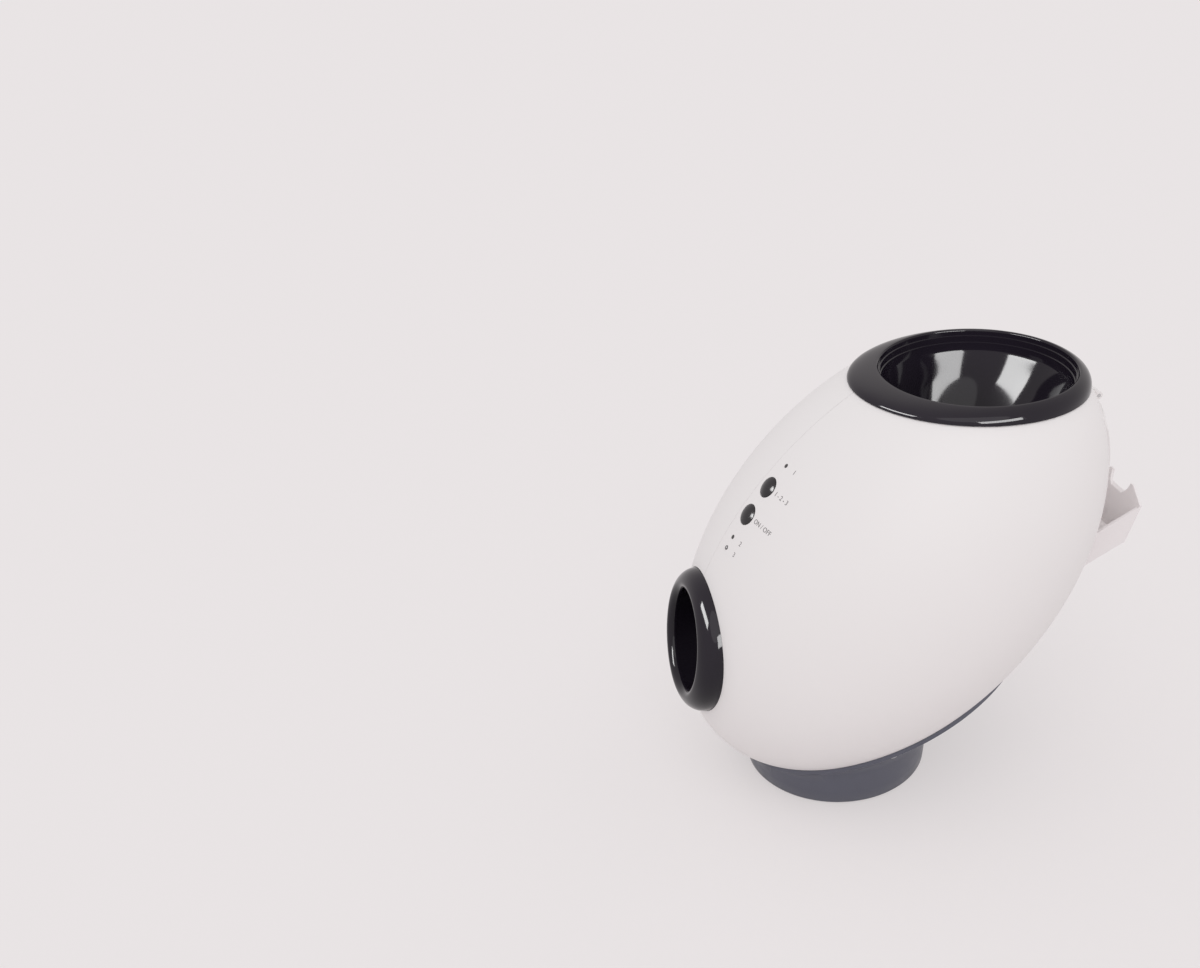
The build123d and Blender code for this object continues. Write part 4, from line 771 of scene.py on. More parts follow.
class Look(Enum):
    """The finishes that the launcher's pieces take."""

    WHITE = Finish("white_moulding", (0.812, 0.772, 0.762), (0.832, 0.794, 0.784), 0.46, 0.04,
                   fine_scale=700.0, coarse_scale=9.0, coarse_share=0.2, bump=0.10, dust=0.02)
    BLACK = Finish("black_polish", (0.0045, 0.0035, 0.0055), (0.0065, 0.005, 0.008), 0.08, 0.015, ior=1.35,
                   fine_scale=60.0, coarse_scale=14.0, coarse_share=0.7, bump=0.02, dust=0.003)
    GREY = Finish("grey_base", (0.088, 0.090, 0.116), (0.102, 0.104, 0.134), 0.36, 0.06, fine_scale=1500.0,
                  coarse_scale=120.0, coarse_share=0.3, bump=0.35, dust=0.04)
    PAD = Finish("pad_rubber", (0.028, 0.028, 0.030), (0.045, 0.044, 0.044), 0.8, 0.08, fine_scale=1200.0,
                 bump=0.4, dust=0.25)
    TYRE = Finish("tyre_rubber", (0.030, 0.030, 0.032), (0.050, 0.050, 0.050), 0.72, 0.1, fine_scale=1100.0,
                  coarse_scale=90.0, bump=0.5, dust=0.2)
    DARK = Finish("dark_moulding", (0.035, 0.035, 0.038), (0.05, 0.05, 0.052), 0.45, 0.08, fine_scale=1300.0,
                  bump=0.25, dust=0.08)
    CHUTE = Finish("chute_moulding", (0.40, 0.40, 0.40), (0.46, 0.455, 0.45), 0.38, 0.08, bump=0.15,
                   dust=0.08)
    HUB = Finish("hub_moulding", (0.55, 0.53, 0.48), (0.60, 0.58, 0.52), 0.4, 0.06, bump=0.12, dust=0.08)
    GATE = Finish("gate_moulding", (0.60, 0.20, 0.03), (0.66, 0.25, 0.05), 0.38, 0.06, bump=0.12, dust=0.05)
    GEAR = Finish("gear_moulding", (0.74, 0.71, 0.62), (0.80, 0.78, 0.70), 0.36, 0.06, bump=0.1, dust=0.04)
    CASE = Finish("servo_case", (0.02, 0.025, 0.045), (0.03, 0.035, 0.06), 0.4, 0.06, bump=0.2, dust=0.05)
    CAN = Finish("motor_can", (0.52, 0.52, 0.51), (0.62, 0.62, 0.60), 0.32, 0.08, metallic=1.0, bump=0.1,
                 dust=0.05)
    STEEL = Finish("ground_steel", (0.56, 0.56, 0.57), (0.66, 0.66, 0.66), 0.24, 0.06, metallic=1.0,
                   bump=0.08, dust=0.02)
    ZINC = Finish("zinc_screw", (0.44, 0.45, 0.47), (0.58, 0.58, 0.57), 0.34, 0.1, metallic=1.0, bump=0.2,
                  dust=0.05)
    LAMP = Finish("smoked_lamp", (0.035, 0.03, 0.032), (0.05, 0.045, 0.045), 0.12, 0.03, coat=0.3, bump=0.02,
                  dust=0.01)
    BOARD = Finish("board_green", (0.012, 0.10, 0.035), (0.02, 0.16, 0.055), 0.28, 0.05, fine_scale=500.0,
                   coarse_scale=160.0, coarse_share=0.7, bump=0.15, dust=0.05)
    CHIP = Finish("board_parts", (0.02, 0.02, 0.022), (0.05, 0.05, 0.05), 0.4, 0.1, bump=0.2, dust=0.05)
    INLET = Finish("inlet_black", (0.015, 0.015, 0.017), (0.025, 0.025, 0.026), 0.3, 0.05, bump=0.1,
                   dust=0.05)
    BUTTON = Finish("button_black", (0.007, 0.006, 0.007), (0.010, 0.009, 0.010), 0.16, 0.02, ior=1.38,
                    fine_scale=300.0, bump=0.03, dust=0.004)
    TRAY = Finish("tray_moulding", (0.820, 0.768, 0.766), (0.835, 0.786, 0.782), 0.42, 0.04,
                  fine_scale=700.0, coarse_scale=14.0, coarse_share=0.3, bump=0.10, dust=0.04)
    LENS = Finish("pale_lens", (0.55, 0.53, 0.53), (0.62, 0.60, 0.60), 0.18, 0.03, coat=0.3, bump=0.02,
                  dust=0.01)
    INK = Finish("printed_ink", (0.13, 0.12, 0.12), (0.18, 0.165, 0.165), 0.5, 0.05, bump=0.05, dust=0.0)


class Paints:
    """Builds each finish's material when it is first asked for."""

    def __init__(self) -> None:
        """Builds the shared groups."""
        self.groups = (make_grain_group(), make_dust_group())
        self.made: dict[Look, Material] = {}

    def of(self, look: Look) -> Material:
        """The material of a finish."""
        if look not in self.made:
            self.made[look] = look.value.build(*self.groups)
        return self.made[look]


NODE_LOOKS: dict[Look, tuple[str, ...]] = {
    Look.WHITE: ("left_shell", "right_shell", "treat_bin", "treat_slide", "treat_lid", "treat_tray"),
    Look.GREY: ("bottom_cover",),
    Look.BLACK: ("hopper_bowl", "muzzle_ring", "mode_button", "power_button"),
    Look.PAD: ("foot_pads",),
    Look.DARK: ("launch_tube", "launcher_frame", "ball_sensors", "tact_switches"),
    Look.CHUTE: ("ball_chute",),
    Look.GATE: ("gate_flap",),
    Look.CASE: ("gate_servo",),
    Look.HUB: ("left_wheel_hub", "right_wheel_hub"),
    Look.TYRE: ("left_wheel_tyre", "right_wheel_tyre"),
    Look.CAN: ("left_wheel_motor", "right_wheel_motor", "treat_motor"),
    Look.STEEL: ("left_wheel_shaft", "right_wheel_shaft", "drum_axle", "lid_hinge_pin"),
    Look.ZINC: ("cover_screws", "shell_screws", "frame_screws", "motor_screws", "board_screws"),
    Look.GEAR: ("treat_drum", "drum_gear", "drive_pinion"),
    Look.LAMP: ("mode_lamps",),
    Look.BOARD: ("button_board", "main_board"),
    Look.CHIP: ("board_parts",),
    Look.INLET: ("power_inlet",),
}


def paint_nodes(paints: Paints) -> None:
    """Gives every node its finish.

    Args:
        paints: the finishes.
    """
    for look, nodes in NODE_LOOKS.items():
        for node in nodes:
            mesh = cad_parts[node].data
            mesh.materials.clear()
            mesh.materials.append(paints.of(look))
        LOG.info("%s on %s", look.value.name, ", ".join(nodes))


# ---------------------------------------------------------------- camera, floor and light

@dataclass
class Studio:
    """Camera, pale floor and soft light, placed in metres."""

    eye: Point = (0.27407, 0.80135, 0.67671)
    right: Point = (-0.97581544, 0.1974284, -0.09384161)
    down: Point = (0.1740273, 0.44184827, -0.88004807)
    lens: float = 42.852
    sensor: float = 36.0
    clip: Pair = (0.01, 50.0)
    floor_half: float = 40.0
    backdrop: Colour = (0.823, 0.783, 0.783)
    sky: Colour = (0.97, 0.98, 1.0)
    ambient: float = 0.86
    even_share: float = 0.6
    ground: Point = (0.0, 0.0, 0.0)
    bowl: Point = (-0.11, 0.0, 0.26)

    def make_camera(self) -> None:
        """Camera above the machine's front left."""
        data = bpy.data.cameras.new("camera")
        data.lens, data.sensor_width = self.lens, self.sensor
        data.clip_start, data.clip_end = self.clip
        camera = shown("camera", data)
        camera.matrix_world = place(self.eye, self.right, Vector(self.down).cross(Vector(self.right)))
        bpy.context.scene.camera = camera

    def make_floor(self) -> None:
        """Plain floor that shows the backdrop's colour evenly and keeps the shadow."""
        half = self.floor_half
        corners = [(-half, -half, 0), (half, -half, 0), (half, half, 0), (-half, half, 0)]
        mesh = bpy.data.meshes.new("floor")
        mesh.from_pydata(corners, [], [(0, 1, 2, 3)])
        floor = shown("floor", mesh)
        material = bpy.data.materials.new("floor")
        nodes = Nodes.of(material)
        lit = nodes.add("ShaderNodeBsdfDiffuse", {"Color": self.backdrop})[0]
        even = nodes.add("ShaderNodeEmission", {"Color": self.backdrop, "Strength": 1.0})[0]
        share = nodes.product(nodes.seen_rays(), self.even_share)
        mixed = nodes.add("ShaderNodeMixShader", {0: share, 1: lit, 2: even})[0]
        nodes.add("ShaderNodeOutputMaterial", {"Surface": mixed})
        mesh.materials.append(material)

    def make_world(self) -> None:
        """Even pale surroundings, as pale as the floor where they are seen or mirrored."""
        world = bpy.data.worlds.new("surroundings")
        bpy.context.scene.world = world
        nodes = Nodes.of(world)
        soft, seen = (
            nodes.add("ShaderNodeBackground", {"Color": colour, "Strength": strength})[0]
            for colour, strength in ((self.sky, self.ambient), (self.backdrop, 1.0)))
        mixed = nodes.add("ShaderNodeMixShader", {0: nodes.seen_rays(), 1: soft, 2: seen})[0]
        nodes.add("ShaderNodeOutputWorld", {"Surface": mixed})

    def make_light(self, name: str, kind: str, spot: Point, aim: Point, **settings: object) -> Thing:
        """Light that stands at a spot and points at an aim.

        Args:
            name: the light's name.
            kind: its type.
            spot: where it stands.
            aim: what it points at.
            settings: its own properties.

        Returns:
            The light.
        """
        data = bpy.data.lights.new(name, kind)
        for key, value in settings.items():
            setattr(data, key, value)
        light = shown(name, data)
        light.location = spot
        light.rotation_mode = "QUATERNION"
        light.rotation_quaternion = (Vector(spot) - Vector(aim)).to_track_quat("Z", "Y")
        return light

    def make(self) -> bpy.types.Collection:
        """Sets up the whole studio.

        Returns:
            The collection of the glossy pieces, which alone the two box lamps light.
        """
        bpy.context.scene.view_settings.view_transform = "Standard"
        self.make_camera()
        self.make_floor()
        self.make_world()
        self.make_light("main_light", "SUN", (0.10, 0.80, 1.0), self.ground, angle=radians(50.0), energy=0.55)
        gloss = bpy.data.collections.new("glossy_pieces")
        for name, spot, high, power in (
                ("front_box", (-0.27, 0.90, 0.56), 0.34, 12.0), ("nose_box", (0.70, 0.06, 0.76), 0.22, 11.0)):
            lamp = self.make_light(
                name, "AREA", spot, self.bowl, shape="RECTANGLE", size=0.60, size_y=high, energy=power)
            lamp.light_linking.receiver_collection = gloss
        return gloss


# ---------------------------------------------------------------- sub-assemblies

@dataclass
class SubAssembly:
    """Part of the launcher that builds and dresses its own pieces, with sizes in millimetres."""

    paints: Paints

    def show(self, name: str, mesh: Mesh, look: Look, body: str, slot: str, *replaced: str) -> None:
        """Puts a new piece in the scene and dresses it.

        Args:
            name: the piece's name.
            mesh: its mesh, in metres in the row frame.
            look: its finish.
            body: the body that it rides on.
            slot: its slot, which is not used.
            replaced: the nodes that it stands for.
        """
        thing = shown(name, mesh)
        thing.data.materials.clear()
        thing.data.materials.append(self.paints.of(look))
        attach(thing, body)
        nodes = list(replaced)
        if nodes:
            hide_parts(*nodes)
        LOG.info("%s: %d faces on %s", thing.name, len(thing.data.polygons), body)


@dataclass
class Housing(SubAssembly):
    """Smooth skins of the two halves, the lid and the base."""

    wall: float = 2.5
    lid_proud: float = 1.0
    lid_thick: float = 2.5
    cover_seat: float = 0.2
    cover_thick: float = 2.8
    fine: float = 5.0

    def make(self) -> None:
        """Builds and dresses the skins."""
        shell = (0.0, -self.wall)
        lid = (self.lid_proud, self.lid_proud - self.lid_thick)
        cover = (self.cover_seat, self.cover_thick)
        for node, layers, look, body, slot in (
                ("left_shell", shell, Look.WHITE, "housing", "white_shell"),
                ("right_shell", shell, Look.WHITE, "housing", "white_shell"),
                ("treat_lid", lid, Look.WHITE, "treat_lid", "white_shell"),
                ("bottom_cover", cover, Look.GREY, "housing", "grey_base")):
            name = f"{node}_skin"
            self.show(name, EggCopier().copy(node, name, layers, self.fine), look, body, slot, node)


# ---------------------------------------------------------------- bowl and muzzle

@dataclass
class Bowl(SubAssembly):
    """The black bowl with its crowned rim."""

    rim_at: Pair = (-96.0, 279.0)
    rim_tilt: float = 4.0
    lip_tilt: float = 2.0
    lip_radius: float = 63.4
    lip_land: float = 1.8
    lip_top: float = 0.9
    lip_round: Pair = (0.55, 0.25)
    lip_deep: float = 1.1
    lip_x: float = -102.8
    top: float = 290.0
    overhang: float = 1.2
    wall: float = 2.4
    crown: tuple[Pair, ...] = (
        (0.0, 0.0), (0.06, 0.0), (0.16, 0.012), (0.28, 0.035), (0.44, 0.10), (0.6, 0.22), (0.74, 0.38),
        (0.85, 0.57), (0.93, 0.76), (0.985, 0.93), (1.0, 1.0))
    under_rise: float = 0.4
    steps: tuple[Pair, ...] = ((0.0, 4.0), (0.9, 8.5), (1.8, 14.0))
    step_edge: float = 0.35
    step_draft: float = 0.2
    bends: tuple[Point, ...] = ((34.0, 54.5, 4.0), (54.0, 44.5, 9.0), (68.0, 35.5, 13.0))
    bend_parts: int = 9
    throat_end: float = 84.0

    @cached_property
    def rim(self) -> Matrix:
        """Plane of the rim, where the bowl meets the egg."""
        return leaning(*self.rim_at, self.rim_tilt)

    @cached_property
    def lip(self) -> Matrix:
        """Plane of the lip's top."""
        drop = (self.lip_radius + self.lip_land) * sin(radians(self.lip_tilt))
        return leaning(self.lip_x, self.top - drop, self.lip_tilt)

    @cached_property
    def rim_section(self) -> tuple[float, float, float]:
        """The egg's section by the rim plane, with the overhang.

        Returns:
            Its centre along the plane, and its half lengths along and across the machine.
        """
        origin = np.array(self.rim.translation)
        along = np.array(self.rim.col[0].to_3d())
        low, high = EGG.crossings(origin, along)
        centre = (low + high) / 2
        _, side = EGG.crossings(origin + along * centre, np.array((0.0, 1.0, 0.0)))
        return float(centre), float(high - low) / 2 + self.overhang, float(side) + self.overhang

    def crown_ring(self, rise: float, blend: float, inset: float) -> list[Vector]:
        """Ring of the rim's crown, or of its underside.

        Args:
            rise: share of the way up from the rim plane to the lip.
            blend: share of the way in from the egg's section to the lip.
            inset: offset inwards, for the underside.

        Returns:
            The ring's points.
        """
        centre, along, across = self.rim_section
        lip_origin = self.rim.inverted() @ self.lip.translation
        top_r = self.lip_radius + self.lip_land
        x = centre + (lip_origin.x - centre) * blend
        turn = Matrix.Rotation(radians(self.rim_tilt - self.lip_tilt) * rise, 4, "Y")
        where = self.rim @ Matrix.Translation((x, 0, lip_origin.z * rise - inset)) @ turn
        half_x, half_y = (half + (top_r - half) * blend - inset for half in (along, across))
        return ring_points(where, half_x, half_y, 0.0, ROUND_STEPS)

    def inner_profile(self) -> list[Point]:
        """The bowl's inside from the lip down.

        Returns:
            Depth, radius and shift of each ring.
        """
        start, grown = self.lip_round
        rows = [(start, self.lip_radius + grown, 0.0), (self.lip_deep, self.lip_radius, 0.0)]
        for inset, deep in self.steps:
            radius = self.lip_radius - inset
            rows += [(rows[-1][0] + self.step_edge, radius, 0.0), (deep, radius - self.step_draft, 0.0)]
        rows += smooth_rows([rows[-1], *self.bends], self.bend_parts)[1:]
        return [*rows, (self.throat_end, *self.bends[-1][1:])]

    def inner_ring(self, deep: float, radius: float, shift: float) -> list[Vector]:
        """Round ring at a depth under the lip."""
        return ring_points(self.lip @ Matrix.Translation((shift, 0, 0)), radius, radius, -deep, ROUND_STEPS)

    def under_edge(self) -> list[Vector]:
        """Ring of the rim's inner bottom edge."""
        centre, along, across = self.rim_section
        where = self.rim @ Matrix.Translation((centre, 0, 0))
        return ring_points(where, along - self.wall, across - self.wall, 0.0, ROUND_STEPS)

    def make(self) -> None:
        """Builds and dresses the bowl."""
        profile = self.inner_profile()
        outside = reversed(profile[3:])
        under = [row for row in reversed(self.crown[:-2]) if row[0] > self.under_rise]
        rings = [
            *(self.crown_ring(rise, blend, 0.0) for rise, blend in self.crown),
            self.inner_ring(0.0, self.lip_radius + self.lip_top, 0.0),
            *(self.inner_ring(deep, radius, shift) for deep, radius, shift in profile),
            *(self.inner_ring(deep, radius + self.wall, shift) for deep, radius, shift in outside),
            *(self.crown_ring(rise, blend, self.wall) for rise, blend in under),
            self.under_edge()]
        mesh = smoothed(from_rings("bowl", rings))
        self.show("bowl", mesh, Look.BLACK, "housing", "black_gloss", "hopper_bowl")


@dataclass
class Muzzle(SubAssembly):
    """The round black muzzle ring."""

    origin: Point = (106.5, 0.0, 120.0)
    tilt: float = 10.0
    bore: float = 34.7
    bore_start: float = -5.0
    tube_wall: float = 2.7
    sleeve_wall: float = 2.4
    radius: float = 49.5
    crest: float = 39.5
    crest_out: float = 1.5
    outer_bend: Pair = (46.9, -3.6)
    outer_steps: int = 18
    inner_bend: Pair = (36.5, 0.6)
    inner_steps: int = 12
    edge_back: float = -12.0
    under_back: float = -14.0
    skirt_back: float = -30.0
    skirt_wall: float = 2.4
    step_back: float = -20.1

    def plane(self) -> Matrix:
        """Plane of the mouth, Z along the throw."""
        lean = radians(self.tilt)
        return place(self.origin, (0, 1, 0), (cos(lean), 0, sin(lean)))

    def outline(self) -> list[Pair]:
        """Closed outline of the ring.

        Returns:
            Points of (radius, height) over the mouth's plane.
        """
        crest = (self.crest, self.crest_out)
        outer = arc_through((self.radius, self.edge_back), self.outer_bend, crest, self.outer_steps)
        inner = arc_through(crest, self.inner_bend, (self.bore, self.bore_start), self.inner_steps)
        seat = self.bore + self.tube_wall
        sleeve = seat + self.sleeve_wall
        inside = self.radius - self.skirt_wall
        return [
            *outer, *inner[1:], (self.bore, self.step_back), (seat, self.step_back), (seat, self.skirt_back),
            (sleeve, self.skirt_back), (sleeve, self.edge_back), (inside, self.under_back),
            (inside, self.skirt_back), (self.radius, self.skirt_back)]

    def make(self) -> None:
        """Builds and dresses the ring."""
        wire = outline_mesh(self.outline(), self.crest)
        sizes = {"Radius": self.crest * MM, "Steps": ROUND_STEPS}
        mesh = make_ring_tree().grow("muzzle_trim", wire, sizes, self.paints.of(Look.BLACK))
        mesh = smoothed(settled(mesh, self.plane()))
        self.show("muzzle_trim", mesh, Look.BLACK, "housing", "black_gloss", "muzzle_ring")


# ---------------------------------------------------------------- button row

@dataclass
class ButtonRow(SubAssembly):
    """Buttons, lamps and the small printed figures of the front row."""

    row_x: float = 52.4
    row_y: float = 11.0
    button_spots: tuple[tuple[str, float], ...] = (("mode_button", -11.3), ("power_button", 11.3))
    lamp_spots: Point = (-29.5, 29.7, 38.2)
    button_radius: float = 7.2
    button_proud: float = 1.6
    button_round: float = 0.5
    dome_steps: int = 12
    cap_steps: int = 96
    flange_out: float = 1.5
    flange_top: float = -5.3
    flange_low: float = -6.5
    stem_radius: float = 1.6
    stem_low: float = -7.6
    lamp_radius: float = 1.5
    lamp_proud: float = 0.4
    lamp_low: float = -13.2
    lamp_steps: int = 48
    lamp_dome: tuple[Pair, ...] = ((0.0, 0.0), (0.5, 0.06), (0.85, 0.2), (1.0, 0.4))
    sleeve_edge: float = 0.25
    lens_radius: float = 1.05
    lens_gap: float = 0.02
    figure_high: float = 4.6
    figure_proud: float = 0.05
    figure_start: float = 10.0
    figure_turn: float = 6.0
    figures: tuple[tuple[float, str], ...] = (
        (-29.5, "1"), (-11.3, "1 - 2 - 3"), (11.3, "ON / OFF"), (29.7, "2"), (38.2, "3"))

    @cached_property
    def plane(self) -> Matrix:
        """Plane on the housing at the middle of the row, X running down the row."""
        spot = EGG.above(Vector((self.row_x, self.row_y, EGG.centre[2])), Vector((0, 0, 1)))
        out = Vector(EGG.normals(np.array(spot)))
        return place(spot, (out.z, 0, -out.x), out)

    def skin(self, along: float, across: float) -> Vector:
        """Point of the housing's surface over a place on the row plane."""
        return EGG.above(self.plane @ Vector((along, across, 0)), self.plane.col[2].to_3d())

    def turned(self, name: str, spot: float, outline: Sequence[Pair], steps: int) -> Mesh:
        """Solid of revolution that stands at a place along the row.

        Args:
            name: the mesh's name.
            spot: its place along the row.
            outline: closed outline of (radius, height) points; a radius of 0 makes a pole.
            steps: number of steps round the axis.

        Returns:
            A closed mesh in metres.
        """
        where = self.plane @ Matrix.Translation((spot, 0, 0))
        sizes = [(max(radius, POLE_RADIUS), height) for radius, height in outline]
        rings = [ring_points(where, radius, radius, height, steps) for radius, height in sizes]
        return smoothed(from_rings(name, rings))

    def skin_height(self, spot: float) -> float:
        """Height of the housing's surface over the row plane."""
        return (self.plane.inverted() @ self.skin(spot, 0.0)).z

    def make_cap(self, body: str, spot: float) -> None:
        """Builds and dresses one domed button.

        Args:
            body: the body that it rides on, which is also its node's name.
            spot: its place along the row.
        """
        crown = self.skin_height(spot) + self.button_proud
        radius = self.button_radius
        dome = (radius**2 + self.button_proud**2) / (2 * self.button_proud)
        turns = [asin(radius / dome) * step / self.dome_steps for step in range(self.dome_steps + 1)]
        top = [(dome * sin(turn), crown - dome + dome * cos(turn)) for turn in turns]
        side = (radius, self.flange_top)
        shoulder = eased(top[-2], (radius, crown - self.button_proud), side, self.button_round)
        flange = radius + self.flange_out
        outline = [
            *top[:-1], *shoulder, side, (flange, self.flange_top), (flange, self.flange_low),
            (self.stem_radius, self.flange_low), (self.stem_radius, self.stem_low), (0.0, self.stem_low)]
        name = f"{body}_cap"
        cap = self.turned(name, spot, outline, self.cap_steps)
        self.show(name, cap, Look.BUTTON, body, "black_gloss", body)

    def lamp_pin(self, spot: float, radius: float, inner: float = 0.0) -> Mesh:
        """Light pipe with a domed end, or a sleeve.

        Args:
            spot: its place along the row.
            radius: its radius.
            inner: the sleeve's inner radius, or 0 for a pipe.

        Returns:
            A closed mesh in metres.
        """
        top = self.skin_height(spot) + self.lamp_proud
        outline = [(radius * share, top - drop) for share, drop in self.lamp_dome]
        if inner > 0:
            outline = [(inner, top), (radius - self.sleeve_edge, top), (radius, top - self.sleeve_edge)]
        ends = [(radius, self.lamp_low), (inner, self.lamp_low)]
        return self.turned("lamp", spot, outline + ends, self.lamp_steps)

    def make_lamps(self) -> None:
        """Builds and dresses the three lamps; the last one has a pale lens in a dark sleeve."""
        *others, last = self.lamp_spots
        pins = [self.lamp_pin(spot, self.lamp_radius) for spot in others]
        pins.append(self.lamp_pin(last, self.lamp_radius, self.lens_radius))
        lamps = smoothed(joined("lamp_pipes", pins))
        self.show("lamp_pipes", lamps, Look.LAMP, "housing", "lamp", "mode_lamps")
        lens = self.lamp_pin(last, self.lens_radius - self.lens_gap)
        self.show("pale_lens", lens, Look.LENS, "housing", "lamp")

    def figure(self, spot: float, text: str) -> Mesh:
        """Raised print of a figure, wrapped on the housing.

        Args:
            spot: place of its lamp or button along the row.
            text: what is printed.

        Returns:
            A closed mesh in metres.
        """
        data = bpy.data.curves.new("figure", "FONT")
        data.body, data.size = text, self.figure_high
        data.resolution_u, data.align_y = 4, "CENTER"
        holder = shown("figure", data)
        work = bmesh.new()
        work.from_mesh(evaluated(holder))
        bpy.data.objects.remove(holder)
        bmesh.ops.remove_doubles(work, verts=work.verts, dist=FIGURE_MERGE)
        raised = bmesh.ops.extrude_face_region(work, geom=work.faces[:])["geom"]
        tops = {item for item in raised if isinstance(item, bmesh.types.BMVert)}
        turn = radians(self.figure_turn)
        out = self.plane.col[2].to_3d()
        for vert in work.verts:
            ahead = self.figure_start + vert.co.x
            along = spot - ahead * sin(turn) - vert.co.y * cos(turn)
            across = ahead * cos(turn) - vert.co.y * sin(turn)
            lift = self.figure_proud if vert in tops else -self.figure_proud
            vert.co = (self.skin(along, across) + out * lift) * MM
        bmesh.ops.recalc_face_normals(work, faces=work.faces)
        return written(work, "figure")

    def make(self) -> None:
        """Builds and dresses the row."""
        for body, spot in self.button_spots:
            self.make_cap(body, spot)
        self.make_lamps()
        prints = joined("printed_figures", [self.figure(spot, text) for spot, text in self.figures])
        self.show("printed_figures", smoothed(prints), Look.INK, "housing", "grey_base")


# ---------------------------------------------------------------- treat tray

@dataclass
class Tray(SubAssembly):
    """The open treat tray behind."""

    edge: float = 0.4
    cut_layer: float = 0.2
    notch_half: float = 8.9
    notch_low: float = 173.0
    notch_deep: float = 4.0
    notch_edge: Pair = (-212.11, 176.45)
    slope: float = 25.0
    lean: float = 22.0
    flat_angle: float = 1.0
    corner_angle: float = 40.0
    shared_angle: float = 50.0
    merge_share: float = 0.2
    shortest_share: float = 0.1
    long_edge: float = 4.0

    def in_notch(self, spot: Vector) -> bool:
        """Whether a point in millimetres lies at the bottom of the notch."""
        back = self.notch_edge[0] + self.notch_deep
        return abs(spot.y) < self.notch_half and spot.x < back and spot.z > self.notch_low

    def level_notch(self, work: Work) -> None:
        """Lifts what lies lower than the notch's bottom onto it.

        Args:
            work: the tray's mesh in metres, which is changed.
        """
        start = Vector((self.notch_edge[0], 0, self.notch_edge[1]))
        lean, slope = radians(self.lean), radians(self.slope)
        rise = Vector((-sin(lean), 0, cos(lean)))
        out = Vector((sin(slope), 0, cos(slope)))
        for vert in work.verts:
            spot = vert.co / MM
            below = (spot - start).dot(out)
            if self.in_notch(spot) and below < 0:
                vert.co = (spot - rise * (below / rise.dot(out))) * MM

    def soften(self, work: Work) -> None:
        """Rounds the tray's edges off, except at its cut along the egg and in the notch.

        Args:
            work: the tray's mesh in metres, which is changed.
        """
        width = self.edge * MM
        bmesh.ops.remove_doubles(work, verts=work.verts, dist=width * self.merge_share)
        bmesh.ops.dissolve_degenerate(work, edges=work.edges, dist=width * self.shortest_share)
        bmesh.ops.remove_doubles(work, verts=work.verts, dist=width * self.merge_share)
        bmesh.ops.dissolve_limit(
            work, angle_limit=radians(self.flat_angle), verts=work.verts, edges=work.edges)
        spots = np.array([vert.co for vert in work.verts]) / MM
        kept = np.abs(EGG.depths(spots) - self.cut_layer) < self.edge
        kept |= np.array([self.in_notch(Vector(spot)) for spot in spots])
        work.verts.index_update()
        edges = [
            side for side in work.edges
            if side.is_manifold and side.calc_face_angle() > radians(self.corner_angle)
            and side.calc_length() > self.long_edge * width
            and not any(kept[vert.index] for vert in side.verts)]
        bmesh.ops.bevel(
            work, geom=edges, offset=width, segments=3, profile=0.5, affect="EDGES", clamp_overlap=False)
        bmesh.ops.recalc_face_normals(work, faces=work.faces)

    def keep_flats(self, mesh: Mesh) -> None:
        """Sets shading normals that the largest face at each corner leads, so that sides stay flat.

        Args:
            mesh: the tray's mesh, which is changed.
        """
        around: dict[int, list[bpy.types.MeshPolygon]] = {}
        for face in mesh.polygons:
            for index in face.vertices:
                around.setdefault(index, []).append(face)
        nearest = cos(radians(self.shared_angle))
        normals = []
        for face in mesh.polygons:
            for index in face.vertices:
                near = [other for other in around[index] if other.normal.dot(face.normal) > nearest]
                total = sum((other.normal * other.area**2 for other in near), Vector())
                normals.append(tuple(total.normalized()) if total.length > 0 else tuple(face.normal))
        mesh.normals_split_custom_set(normals)

    def make(self) -> None:
        """Builds and dresses the tray."""
        work = merged_copy("treat_tray")
        self.level_notch(work)
        self.soften(work)
        tray = smoothed(written(work, "soft_treat_tray"))
        self.keep_flats(tray)
        self.show("soft_treat_tray", tray, Look.TRAY, "housing", "white_shell", "treat_tray")


# ---------------------------------------------------------------- wheels

@dataclass
class Wheels(SubAssembly):
    """Tyres of the two launching wheels, hollowed and grooved to grip the ball."""

    outer: float = 26.0
    hollow: float = 1.6
    inner: float = 20.05
    half_high: float = 12.0
    chamfer: float = 1.0
    tread_steps: int = 22
    grooves: int = 40
    groove_steps: int = 4
    groove_depth: float = 0.5
    groove_half: float = 9.6
    axle_tilt: float = 10.0

    def outline(self) -> list[Pair]:
        """Closed outline of a tyre.

        Returns:
            Points of (radius, height) over its middle plane.
        """
        high, edge = self.half_high, self.chamfer
        middle = (self.outer - self.hollow, 0.0)
        tread = arc_through((self.outer, edge - high), middle, (self.outer, high - edge), self.tread_steps)
        side = self.outer - edge
        return [*tread, (side, high), (self.inner, high), (self.inner, -high), (side, -high)]

    def make(self) -> None:
        """Builds and dresses both tyres."""
        tree = make_ring_tree()
        lean = radians(self.axle_tilt)
        groove_radius = self.outer - self.hollow - self.groove_depth
        sizes = {
            "Radius": self.inner * MM, "Steps": self.grooves * self.groove_steps,
            "Grooves": float(self.grooves), "Groove Depth": self.groove_depth * MM,
            "Groove Radius": groove_radius * MM, "Groove Half": self.groove_half * MM}
        for body in ("left_wheel", "right_wheel"):
            low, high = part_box(f"{body}_tyre")
            centre = (Vector(low) + Vector(high)) / (2 * MM)
            where = place(centre, (0, 1, 0), (-sin(lean), 0, cos(lean)))
            name, wire = f"{body}_grip", outline_mesh(self.outline(), self.inner)
            mesh = tree.grow(name, wire, sizes, self.paints.of(Look.TYRE))
            self.show(name, smoothed(settled(mesh, where)), Look.TYRE, body, "tyres", f"{body}_tyre")


# ---------------------------------------------------------------- screws and pads

